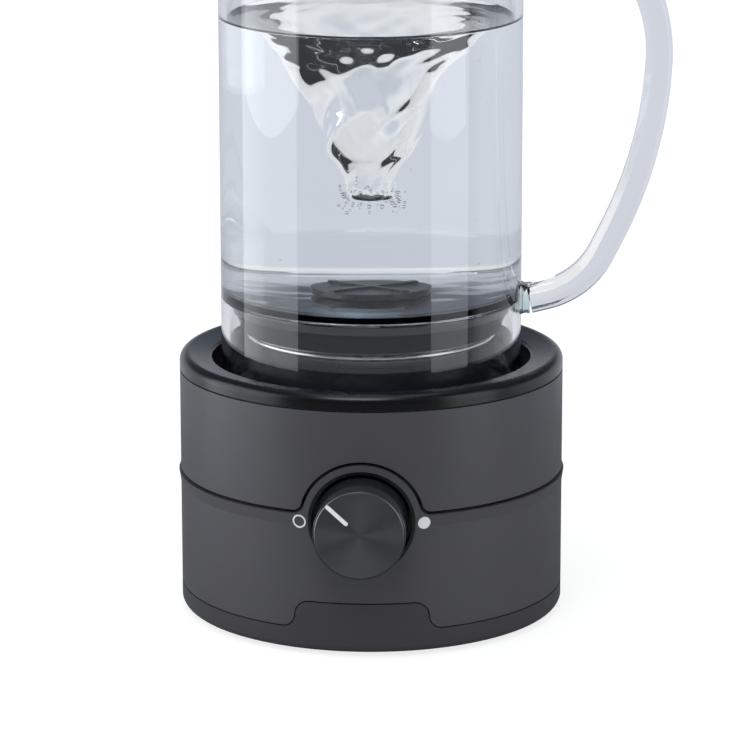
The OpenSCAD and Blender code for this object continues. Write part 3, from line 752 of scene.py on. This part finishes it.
@dataclass
class Pedestal(Assembly):
    """The post in the well with its trim ring and the rest that the jar stands on."""

    body: str = "base"
    kept: tuple[str, ...] = ("drive_housing", "drive_screws", "trim_ring")
    trim_top: float = 108.6
    seat_z: float = 122.0
    neck_r: float = 47.2
    rest_r: float = 52.6
    spigot_r: Point = (40.6, 42.8)
    spigot_low: float = 104.6
    roof_z: float = 119.5
    foot_in: float = 0.3
    flare: tuple[Corner, ...] = ((2.1, 1.6, 0.9), (3.2, 4.6, 1.2))
    rim_drop: tuple[Corner, ...] = ((1.2, 6.2, 0.6), (0.0, 4.4, 0.5))
    spigot_round: float = 0.2
    foot_round: float = 0.4
    seat_round: float = 0.8
    roof_round: float = 0.5

    def build(self) -> None:
        """Makes the rest, which flares in two steps from the trim ring to the seat."""
        outline = rounded([
            (self.spigot_r[0], self.spigot_low, self.spigot_round),
            (self.spigot_r[1], self.spigot_low, self.spigot_round),
            (self.spigot_r[1], self.trim_top, 0),
            (self.neck_r - self.foot_in, self.trim_top, self.foot_round),
            *((self.neck_r + out, self.trim_top + up, radius) for out, up, radius in self.flare),
            *((self.rest_r - back, self.seat_z - down, radius) for back, down, radius in self.rim_drop),
            (self.rest_r, self.seat_z, self.seat_round),
            (0, self.seat_z, 0),
            (0, self.roof_z, 0),
            (self.spigot_r[0], self.roof_z, self.roof_round),
        ], 8)
        rest = revolved("jar_rest_pad", outline)
        self.keep(rest, FINISHES[Slot.SOFT_BLACK], Slot.SOFT_BLACK, "jar_rest")


@dataclass
class Drive(Assembly):
    """The motor, its bracket and the control board."""

    body: str = "base"
    kept: tuple[str, ...] = (
        "motor_bracket", "motor_dampers", "bracket_screws", "motor_can", "motor_end_cap", "field_magnets",
        "brushes", "motor_bushes", "motor_screws", "control_board", "board_screws", "capacitors",
        "terminal_block", "heat_sink", "motor_leads", "control_leads", "speed_control", "control_nut",
    )


@dataclass
class Rotor(Assembly):
    """The armature and the magnets that turn under the jar."""

    body: str = "rotor"
    kept: tuple[str, ...] = (
        "motor_shaft", "armature_core", "armature_windings", "commutator", "magnet_carrier", "drive_magnets",
    )


@dataclass
class ControlKnob(Assembly):
    """The knob with its spun face."""

    body: str = "control_knob"
    kept: tuple[str, ...] = ("control_shaft", "knob", "knob_pointer")
    knob_z: float = 51.6
    face_y: float = -88.6
    face_r: float = 16.5
    face_t: float = 1.1
    chamfer: float = 0.35
    edge_r: float = 0.08
    edge_hold: float = 0.03

    def build(self) -> None:
        """Makes the face as a disc with a bright turned edge."""
        outline = rounded([
            (0, 0, 0),
            (self.face_r, 0, 0),
            (self.face_r, self.face_t - self.chamfer, self.edge_r),
            (self.face_r - self.chamfer, self.face_t, self.edge_r),
            (0, self.face_t, 0),
        ], 4, self.edge_hold)
        face = revolved("knob_face_disc", outline, 160)
        face.data.transform(Matrix.Rotation(math.pi / 2, 4, "X"))
        face.location = (0, (self.face_y + self.face_t) * MM, self.knob_z * MM)
        self.keep(face, FINISHES[Slot.KNOB_METAL], Slot.KNOB_METAL, "knob_face")


@dataclass
class Jar(Assembly):
    """The glass jar with its handle."""

    body: str = "jar"
    kept: tuple[str, ...] = ()
    outer_r: float = 57.0
    inner_r: float = 54.0
    skirt_z: float = 89.5
    seat_z: float = 122.0
    air: float = 0.15
    floor_z: float = 124.5
    corner_r: float = 1.7
    under_r: float = 1.4
    top_z: float = 290.0
    pad: float = 3.3
    pad_size: Point = (12.0, 11.0)
    pad_r: float = 3.0
    pad_lap: float = 0.02
    pad_waist: tuple[Point, ...] = ((0.0, 1.06), (0.35, 0.97), (0.7, 0.96), (1.0, 1.0))
    handle_t: float = 10.0
    handle_w: float = 14.0
    chamfer: float = 2.4
    back_edge_r: float = 2.4
    side_edge_r: float = 0.7
    front_edge_r: float = 0.9
    joints_z: Point = (120.6, 264.9)
    headings: tuple[float, ...] = (14.4, 63.7, 87.8, 106.9, 176.0)
    lead_in: float = 6.5
    lower_r: float = 31.8
    back_straight: float = 9.0
    upper_r: float = 60.6
    tail: float = 4.0

    def build(self) -> None:
        """Makes the glass, the two pads and the handle."""
        glass = revolved("jar_wall", self.wall(), 256)
        self.keep(glass, FINISHES[Slot.CLEAR_GLASS], Slot.CLEAR_GLASS, "jar_glass")
        handle = swept("jar_handle_bow", self.stations(), self.section())
        self.keep(handle, FINISHES[Slot.HANDLE_GLASS], Slot.HANDLE_GLASS, "jar_handle")
        pads = self.pads()
        self.keep(pads, FINISHES[Slot.PAD_GLASS], Slot.PAD_GLASS, "handle_pads")

    def wall(self) -> list[Point]:
        """Works out the section of the wall, the floor and the skirt.

        Returns:
            The outline, as radius and height.
        """
        edge = (self.outer_r - self.inner_r) / 2 - 0.2
        under = self.seat_z + self.air
        return rounded([
            (0, under, 0),
            (self.inner_r, under, self.under_r),
            (self.inner_r, self.skirt_z, edge),
            (self.outer_r, self.skirt_z, edge),
            (self.outer_r, self.top_z, edge),
            (self.inner_r, self.top_z, edge),
            (self.inner_r, self.floor_z, self.corner_r),
            (0, self.floor_z, 0),
        ], 10)

    def section(self) -> list[Point]:
        """Works out the handle's section, whose inner edge is chamfered.

        Returns:
            The outline, with X away from the jar.
        """
        half, side, cut = self.handle_t / 2, self.handle_w / 2, self.chamfer
        return rounded([
            (half, side, self.back_edge_r),
            (cut - half, side, self.side_edge_r),
            (-half, side - cut, self.front_edge_r),
            (-half, cut - side, self.front_edge_r),
            (cut - half, -side, self.side_edge_r),
            (half, -side, self.back_edge_r),
        ], 6)

    def stations(self) -> list[Matrix]:
        """Works out the handle's path.

        Returns:
            A frame for the section at each step, with X outwards and Z along the path.
        """
        first, back, upper, top, last = self.headings
        start = Vector((self.outer_r + self.pad, self.joints_z[0]))
        fixed = self.lead_in * self.heading(first) + self.arc(self.lower_r, first, back)
        fixed += self.back_straight * self.heading(back) + self.arc(self.upper_r, upper, top)
        fixed += self.tail * self.heading(last)
        gap = Vector((0, self.joints_z[1] - self.joints_z[0])) - fixed
        unit_back, unit_top = self.arc(1, back, upper), self.arc(1, top, last)
        back_r = gap.cross(unit_top) / unit_back.cross(unit_top)
        top_r = unit_back.cross(gap) / unit_back.cross(unit_top)
        legs = (
            (self.lead_in, first, first), (self.lower_r, first, back), (self.back_straight, back, back),
            (back_r, back, upper), (self.upper_r, upper, top), (top_r, top, last), (self.tail, last, last),
        )
        stations = []
        for size, angle, end in legs:
            steps = 2 if angle == end else max(8, int(abs(end - angle) / 1.5))
            for k in range(steps):
                turn = angle + (end - angle) * k / steps
                stations.append(self.station(start + self.stretch(size, angle, turn, end, k / steps), turn))
            start = start + self.stretch(size, angle, end, end, 1.0)
        stations.append(self.station(start, last))
        return stations

    def stretch(self, size: float, angle: float, turn: float, end: float, share: float) -> Vector:
        """Returns how far a leg of the path goes.

        Args:
            size: The leg's length if it is straight, and its radius if it is an arc.
            angle: The heading at its start.
            turn: The heading reached.
            end: The heading at its end.
            share: How much of a straight leg is done, from 0 to 1.

        Returns:
            The step from the leg's start.
        """
        return size * share * self.heading(angle) if angle == end else self.arc(size, angle, turn)

    @staticmethod
    def heading(degrees: float) -> Vector:
        """Returns the direction of a heading in the XZ plane."""
        return Vector((math.cos(math.radians(degrees)), math.sin(math.radians(degrees))))

    @staticmethod
    def arc(radius: float, start: float, end: float) -> Vector:
        """Returns the step along a left-hand arc between two headings."""
        a, b = math.radians(start), math.radians(end)
        return Vector((math.sin(b) - math.sin(a), math.cos(a) - math.cos(b))) * radius

    @staticmethod
    def station(place: Vector, degrees: float) -> Matrix:
        """Works out the section's frame at a place on the path.

        Args:
            place: The place in the XZ plane, in millimetres.
            degrees: The path's heading there.

        Returns:
            The frame, in metres.
        """
        turn = math.radians(degrees)
        out = Vector((math.sin(turn), 0, -math.cos(turn)))
        along = Vector((math.cos(turn), 0, math.sin(turn)))
        origin = Vector((place[0] * MM, 0, place[1] * MM))
        rows = zip(out, along.cross(out), along, origin)
        return Matrix((*rows, (0, 0, 0, 1)))

    def pads(self) -> Piece:
        """Makes the two pads that join the handle to the wall.

        Returns:
            Both pads as one piece.
        """
        wide, tall = self.pad_size[0] / 2, self.pad_size[1] / 2
        signs = ((1, 1), (-1, 1), (-1, -1), (1, -1))
        outline = rounded([(wide * across, tall * up, self.pad_r) for across, up in signs], 6)
        bm = bmesh.new()
        end = self.outer_r + self.pad
        for z in self.joints_z:
            rings = []
            for step, grow in self.pad_waist:
                ring = []
                for y, up in outline:
                    wall = math.sqrt(self.outer_r ** 2 - (y * grow) ** 2) + self.pad_lap
                    x = wall + (end - wall) * step
                    ring.append(bm.verts.new((x * MM, y * grow * MM, (z + up * grow) * MM)))
                rings.append(ring)
            for ring, follow in zip(rings, rings[1:]):
                bridged(bm, ring, follow)
            bm.faces.new(rings[0])
            bm.faces.new(reversed(rings[-1]))
        bmesh.ops.recalc_face_normals(bm, faces=bm.faces)
        return finished("jar_handle_pads", bm)


@dataclass(frozen=True)
class Wave:
    """A wave round the funnel: its count, its size, its phase and how far it leans."""

    count: int
    size: float
    phase: float = 0.0
    lean: float = 0.0

    def at(self, angle: float, along: float = 0.0) -> float:
        """Returns the wave's height at an angle, and along what it leans with."""
        return self.size * math.sin(self.count * angle + self.lean * along + self.phase)


@dataclass(frozen=True)
class Spray:
    """A cloud of bubbles: how large they are, how far from the axis and how far above its base."""

    sizes: Point
    reaches: Point
    heights: Point

    def draw(self, dice: random.Random) -> tuple[float, float, float]:
        """Draws a bubble's radius, its distance from the axis and its height above the base."""
        return dice.uniform(*self.sizes), dice.uniform(*self.reaches), dice.uniform(*self.heights)


@dataclass
class Brew(Assembly):
    """The water in the jar, drawn down by the stirrer into a twisting funnel."""

    body: str = "jar"
    kept: tuple[str, ...] = ()
    wall_r: float = 54.0
    lap: float = 0.08
    floor_z: float = 124.5
    corner_r: float = 1.7
    level_z: float = 227.4
    creep: float = 1.4
    funnel: tuple[Point, ...] = (
        (47.0, 227.3), (40.5, 226.6), (34.5, 224.4), (29.6, 220.2), (25.4, 215.4), (22.2, 211.0),
        (20.0, 205.2), (18.2, 199.0), (16.6, 192.9), (15.0, 187.5), (13.4, 182.5), (11.7, 178.5),
        (9.6, 175.2), (8.0, 171.8), (7.2, 168.4), (6.9, 165.2), (6.4, 162.8), (5.0, 161.2),
        (2.6, 160.5), (0.0, 160.3),
    )
    meniscus: tuple[Point, ...] = ((0.3, 0.8), (1.0, 0.35))
    meniscus_end: Point = (2.4, 0.1)
    twist: float = 0.06
    whirl: tuple[Wave, ...] = (Wave(2, 0.055), Wave(3, 0.05, 1.1))
    ridge: Wave = Wave(5, 0.02, 0.0, -0.1)
    low_whirl: tuple[Wave, ...] = (Wave(5, 0.03, 0.6), Wave(11, 0.012))
    mouth: tuple[Wave, ...] = (Wave(9, 0.02, 0.0, 0.5), Wave(14, 0.014, 1.0, -0.9))
    ripples: tuple[Wave, ...] = (Wave(3, 0.45, 0.0, 0.4), Wave(7, 0.25, 0.0, -0.6), Wave(13, 0.16, 0.0, 1.1))
    still_depth: float = 1.5
    stirred_depth: float = 12.0
    mouth_depth: float = 10.0
    mouth_span: float = 6.0
    low_depth: float = 22.0
    low_span: float = 10.0
    ripple_r: float = 30.0
    ripple_span: float = 18.0
    turns: int = 192
    bubbles: int = 90
    near_share: float = 0.65
    near: Spray = Spray((0.25, 0.8), (7.6, 10.2), (-3.5, 6.0))
    far: Spray = Spray((0.12, 0.28), (14, 50), (3.5, 90.5))
    seed: int = 11

    def build(self) -> None:
        """Makes the water."""
        water = self.water()
        self.keep(water, WATER, Slot.CLEAR_GLASS)

    def water(self) -> Piece:
        """Makes the water with its funnel and its bubbles.

        Returns:
            The water, whose bubbles are hollows in it.
        """
        outer, bottom = self.wall_r + self.lap, self.floor_z - self.lap
        corner = rounded([(0, bottom, 0), (outer, bottom, self.corner_r), (outer, self.level_z, 0)], 8)
        still = [point for point in corner if point[1] < self.level_z - 1e-6]
        still.append((outer, self.level_z + self.creep))
        still += [(self.wall_r - back, self.level_z + self.creep * share) for back, share in self.meniscus]
        still.append((self.wall_r - self.meniscus_end[0], self.level_z + self.meniscus_end[1]))
        bm = bmesh.new()
        rings = [self.ring(bm, radius, z, 0.0) for radius, z in still]
        for radius, z in self.smooth_funnel():
            rings.append(self.ring(bm, radius, z, 1.0))
        for ring, follow in zip(rings, rings[1:]):
            bridged(bm, ring, follow)
        bmesh.ops.recalc_face_normals(bm, faces=bm.faces)
        self.add_bubbles(bm)
        return finished("water", bm, 80.0)

    def smooth_funnel(self) -> list[Point]:
        """Draws a smooth curve through the funnel's points.

        Returns:
            The curve, as radius and height, down to the axis.
        """
        points = [Vector(p) for p in self.funnel]
        ends = [points[0] * 2 - points[1], *points, points[-1]]
        curve = []
        for a, b, c, d in zip(ends, ends[1:], ends[2:], ends[3:]):
            for k in range(8):
                t = k / 8
                bend = (2 * a - 5 * b + 4 * c - d) * t * t + (3 * b - a - 3 * c + d) * t ** 3
                p = 0.5 * (2 * b + (c - a) * t + bend)
                curve.append((max(p.x, 0.05), p.y))
        return [*curve, (0.0, self.funnel[-1][1])]

    def ring(self, bm: Mesh, radius: float, z: float, stirred: float) -> list[Vertex]:
        """Adds one ring of the water's surface.

        Args:
            bm: The mesh.
            radius: The ring's mean radius.
            z: Its mean height.
            stirred: How much the twist moves it, from 0 to 1.

        Returns:
            The ring's vertices.
        """
        if radius < 1e-6:
            return [bm.verts.new((0, 0, z * MM))]
        depth = self.level_z - z
        deep = max(0.0, min(1.0, (depth - self.still_depth) / self.stirred_depth)) * stirred
        flat = stirred * max(0.0, 1 - abs(radius - self.ripple_r) / self.ripple_span)
        mouth = math.exp(-(((self.mouth_depth - depth) / self.mouth_span) ** 2))
        low = max(0.0, min(1.0, (depth - self.low_depth) / self.low_span))
        ring = []
        for k in range(self.turns):
            a = 2 * math.pi * k / self.turns
            turned = a + self.twist * depth
            swell = sum(wave.at(turned) for wave in self.whirl) + self.ridge.at(a, z)
            swell += low * sum(wave.at(turned) for wave in self.low_whirl)
            swell += mouth * sum(wave.at(a, z) for wave in self.mouth)
            r = radius * (1 + deep * swell)
            lift = flat * sum(wave.at(a, radius) for wave in self.ripples)
            ring.append(bm.verts.new((r * MM * math.cos(a), r * MM * math.sin(a), (z + lift) * MM)))
        return ring

    def add_bubbles(self, bm: Mesh) -> None:
        """Adds the hollows of the bubbles round the funnel's end and above the floor.

        Args:
            bm: The water's mesh.
        """
        dice = random.Random(self.seed)
        for i in range(self.bubbles):
            close = i < self.bubbles * self.near_share
            spray, base = (self.near, self.funnel[-1][1]) if close else (self.far, self.floor_z)
            radius, reach, up = spray.draw(dice)
            a = dice.uniform(0, 2 * math.pi)
            place = Matrix.Translation((reach * MM * math.cos(a), reach * MM * math.sin(a), (base + up) * MM))
            made = bmesh.ops.create_icosphere(bm, subdivisions=2, radius=radius * MM, matrix=place)
            faces = {face for vert in made["verts"] for face in vert.link_faces}
            bmesh.ops.reverse_faces(bm, faces=list(faces))


@dataclass
class Stirrer(Assembly):
    """The disc that turns on the jar's floor."""

    body: str = "stirrer"
    kept: tuple[str, ...] = ("stir_disc", "stir_magnets", "stir_button")


@dataclass
class Lid(Assembly):
    """The lid with its plug, seal and strainer."""

    body: str = "lid"
    kept: tuple[str, ...] = ("lid_cap", "lid_plug", "lid_seal", "lid_strainer", "lid_grip", "lid_screw")


@dataclass(frozen=True)
class Softbox:
    """A lamp that faces the object's axis.

    It hangs at an angle round the object from the camera, to the right, and at a reach from the axis. Its
    centre has a height, it points at another height on the axis, and its radiance is 1 where it looks white.
    """

    name: str
    azimuth_deg: float
    reach: float
    wide: float
    tall: float
    height: float
    aim_z: float
    radiance: float
    tint: Colour = (0.94, 0.97, 1.0)

    def hang(self, front_deg: float) -> None:
        """Hangs the lamp.

        Args:
            front_deg: The angle of the camera's side of the object.
        """
        data = bpy.data.lights.new(self.name, "AREA")
        data.shape, data.size, data.size_y = "RECTANGLE", self.wide, self.tall
        data.energy = math.pi * self.radiance * self.wide * self.tall
        data.color = self.tint
        lamp = bpy.data.objects.new(self.name, data)
        bpy.context.scene.collection.objects.link(lamp)
        turn = math.radians(self.azimuth_deg + front_deg)
        place = Vector((math.sin(turn) * self.reach, -math.cos(turn) * self.reach, self.height))
        aim = Vector((0, 0, self.aim_z)) - place
        lamp.matrix_world = Matrix.Translation(place) @ aim.to_track_quat("-Z", "Y").to_matrix().to_4x4()


@dataclass
class Studio:
    """The camera, the floor, the lamps and the surroundings."""

    camera_place: tuple[float, float, float] = (75.4, -1462.4, 456.6)
    azimuth_deg: float = 3.0
    pitch_deg: float = 13.971
    roll_deg: float = -0.09
    lens_mm: float = 193.28
    sensor_mm: float = 36.0
    floor_half: float = 9.0
    floor_grey: Colour = (0.3, 0.3, 0.3)
    floor_bounce: Colour = (0.75, 0.75, 0.76)
    floor_glow: Point = (0.8, 0.9)
    table_r: float = 0.33
    table_fade: float = 0.05
    pool_r: Point = (0.38, 0.58)
    white_r: Point = (0.5, 0.95)
    pool: Colour = linear(240, 241, 243)
    sweep: Colour = linear(211, 216, 225)
    room: Colour = linear(84, 90, 101)
    panel: Colour = linear(142, 156, 172)
    panel_reach: float = 0.16
    card: Colour = linear(44, 45, 50)
    card_y: float = 0.1
    sweep_deg: float = 12.8
    ambient: Colour = (0.94, 0.97, 1.0)
    ambient_strength: float = 0.5
    white: Colour = (1.0, 1.0, 1.0)
    lamps: tuple[Softbox, ...] = (
        Softbox("softbox_left", -84.0, 1.05, 1.1, 1.2, 0.25, 0.25, 1.9),
        Softbox("softbox_right", 61.0, 1.05, 0.6, 1.2, 0.25, 0.25, 1.4),
        Softbox("softbox_front", -12.0, 1.0, 0.8, 0.7, 1.45, 0.1, 4.6),
        Softbox("softbox_top", 0.0, 0.0, 1.0, 1.0, 1.5, 0.0, 0.8),
    )

    def build(self) -> None:
        """Makes the whole studio."""
        self.camera()
        self.floor()
        self.world()
        for lamp in self.lamps:
            lamp.hang(self.azimuth_deg)
        LOG.info("studio: camera, floor, surroundings and %d lamps", len(self.lamps))

    def camera(self) -> None:
        """Sets the camera where the photograph was taken from."""
        data = bpy.data.cameras.new("camera")
        data.lens, data.sensor_width = self.lens_mm, self.sensor_mm
        data.clip_start, data.clip_end = 0.05, 50
        camera = bpy.data.objects.new("camera", data)
        bpy.context.scene.collection.objects.link(camera)
        pitch, turn = math.radians(self.pitch_deg), math.radians(self.azimuth_deg)
        level = math.cos(pitch)
        ahead = Vector((-math.sin(turn) * level, math.cos(turn) * level, -math.sin(pitch)))
        aim = ahead.to_track_quat("-Z", "Y").to_matrix().to_4x4()
        roll = Matrix.Rotation(math.radians(self.roll_deg), 4, "Z")
        camera.matrix_world = Matrix.Translation(Vector(self.camera_place) * MM) @ aim @ roll
        bpy.context.scene.camera = camera

    def floor(self) -> None:
        """Makes the floor, which is white where nothing shades it and clear from below."""
        mesh = bpy.data.meshes.new("floor")
        half = self.floor_half
        square = [(-half, -half, 0), (half, -half, 0), (half, half, 0), (-half, half, 0)]
        mesh.from_pydata(square, [], [(0, 1, 2, 3)])
        floor = bpy.data.objects.new("floor", mesh)
        bpy.context.scene.collection.objects.link(floor)
        g = Graph("floor_white")
        path = g.add("ShaderNodeLightPath").outputs
        gone = g.add("ShaderNodeBsdfTransparent").outputs[0]
        reach = g.add("ShaderNodeVectorMath", {0: g.place}, operation="LENGTH").outputs["Value"]
        glow = g.faded(reach, *self.white_r, *self.floor_glow)
        lit = g.add("ShaderNodeEmission", {"Color": self.white, "Strength": glow}).outputs[0]
        dull = g.add("ShaderNodeBsdfDiffuse", {"Color": self.floor_grey}).outputs[0]
        both = g.add("ShaderNodeAddShader", {0: dull, 1: lit}).outputs[0]
        bounce = g.add("ShaderNodeBsdfDiffuse", {"Color": self.floor_bounce}).outputs[0]
        unseen = g.either(path["Is Diffuse Ray"], dull, bounce)
        shown = g.either(path["Is Camera Ray"], unseen, both)
        edge = g.faded(reach, self.table_r, self.table_r + self.table_fade)
        off = g.add("ShaderNodeMath", {0: edge, 1: path["Is Glossy Ray"]}, operation="MULTIPLY").outputs[0]
        table = g.either(off, shown, gone)
        pool = g.mixed(g.faded(reach, *self.pool_r), self.pool, self.sweep)
        through = g.add("ShaderNodeEmission", {"Color": pool, "Strength": 1.0}).outputs[0]
        glass = g.either(path["Is Transmission Ray"], table, through)
        below = g.add("ShaderNodeNewGeometry").outputs["Backfacing"]
        mesh.materials.append(g.close(g.either(below, glass, gone)))

    def world(self) -> None:
        """Makes the surroundings.

        They are white to the camera and plain to matt surfaces. Glass and gloss see a pale sweep behind, a
        dark room above it with a paler panel in the middle, and a dark card in front.
        """
        world = bpy.data.worlds.new("studio")
        bpy.context.scene.world = world
        world.use_nodes = True
        nodes, links = world.node_tree.nodes, world.node_tree.links
        nodes.clear()
        path = nodes.new("ShaderNodeLightPath").outputs
        way = nodes.new("ShaderNodeSeparateXYZ")
        links.new(nodes.new("ShaderNodeTexCoord").outputs["Generated"], way.inputs[0])
        rise = math.sin(math.radians(self.sweep_deg))
        above = self.stepped(nodes, links, way.outputs["Z"], rise - 0.001, rise + 0.001)
        front = self.stepped(nodes, links, way.outputs["Y"], self.card_y, -self.card_y)
        aside = nodes.new("ShaderNodeMath")
        aside.operation = "ABSOLUTE"
        links.new(way.outputs["X"], aside.inputs[0])
        centre = self.stepped(nodes, links, aside.outputs[0], self.panel_reach, 0.0)
        colours = (self.sweep, self.room, self.panel, self.card, self.white)
        sweep, room, panel, card, white = (self.backed(nodes, colour) for colour in colours)
        far = self.blended(nodes, links, centre, room, panel)
        seen = self.blended(nodes, links, front, self.blended(nodes, links, above, sweep, far), card)
        shown = self.backed(nodes, self.ambient, self.ambient_strength)
        for ray, source in (("Is Glossy Ray", seen), ("Is Transmission Ray", seen), ("Is Camera Ray", white)):
            shown = self.blended(nodes, links, path[ray], shown, source)
        links.new(shown, nodes.new("ShaderNodeOutputWorld").inputs["Surface"])

    @staticmethod
    def backed(nodes: bpy.types.Nodes, colour: Colour, strength: float = 1.0) -> Socket:
        """Adds a plain background to the world.

        Args:
            nodes: The world's nodes.
            colour: Its colour.
            strength: Its strength.

        Returns:
            Its shader.
        """
        light = nodes.new("ShaderNodeBackground")
        light.inputs["Color"].default_value = (*colour, 1.0)
        light.inputs["Strength"].default_value = strength
        return light.outputs[0]

    @staticmethod
    def stepped(
        nodes: bpy.types.Nodes, links: bpy.types.NodeLinks, value: Socket, start: float, end: float,
    ) -> Socket:
        """Adds a ramp from 0 to 1 to the world.

        Args:
            nodes: The world's nodes.
            links: The world's links.
            value: The number that drives it.
            start: The number at which it leaves 0.
            end: The number at which it reaches 1.

        Returns:
            The ramp's value.
        """
        step = nodes.new("ShaderNodeMapRange")
        step.inputs["From Min"].default_value = start
        step.inputs["From Max"].default_value = end
        links.new(value, step.inputs["Value"])
        return step.outputs["Result"]

    @staticmethod
    def blended(
        nodes: bpy.types.Nodes, links: bpy.types.NodeLinks, factor: Socket, first: Socket, second: Socket,
    ) -> Socket:
        """Mixes two of the world's shaders.

        Args:
            nodes: The world's nodes.
            links: The world's links.
            factor: How much of the second shader there is, from 0 to 1.
            first: The first shader.
            second: The second shader.

        Returns:
            The mix.
        """
        mix = nodes.new("ShaderNodeMixShader")
        for socket, source in zip(mix.inputs, (factor, first, second)):
            links.new(source, socket)
        return mix.outputs[0]


def corners(box: tuple[Vector, Vector]) -> list[list[float]]:
    """Returns a box's lowest and highest corner as plain lists."""
    return [[float(v) for v in corner] for corner in box]


def main() -> None:
    """Builds the studio and each sub-assembly."""
    logging.basicConfig(level=logging.INFO, format="%(message)s")
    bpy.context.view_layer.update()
    bpy.context.scene.view_settings.view_transform = "Standard"
    Studio().build()
    for assembly in (Casing(), Pedestal(), Drive(), Rotor(), ControlKnob(), Jar(), Brew(), Stirrer(), Lid()):
        assembly.run()


if __name__ == "__main__":
    main()
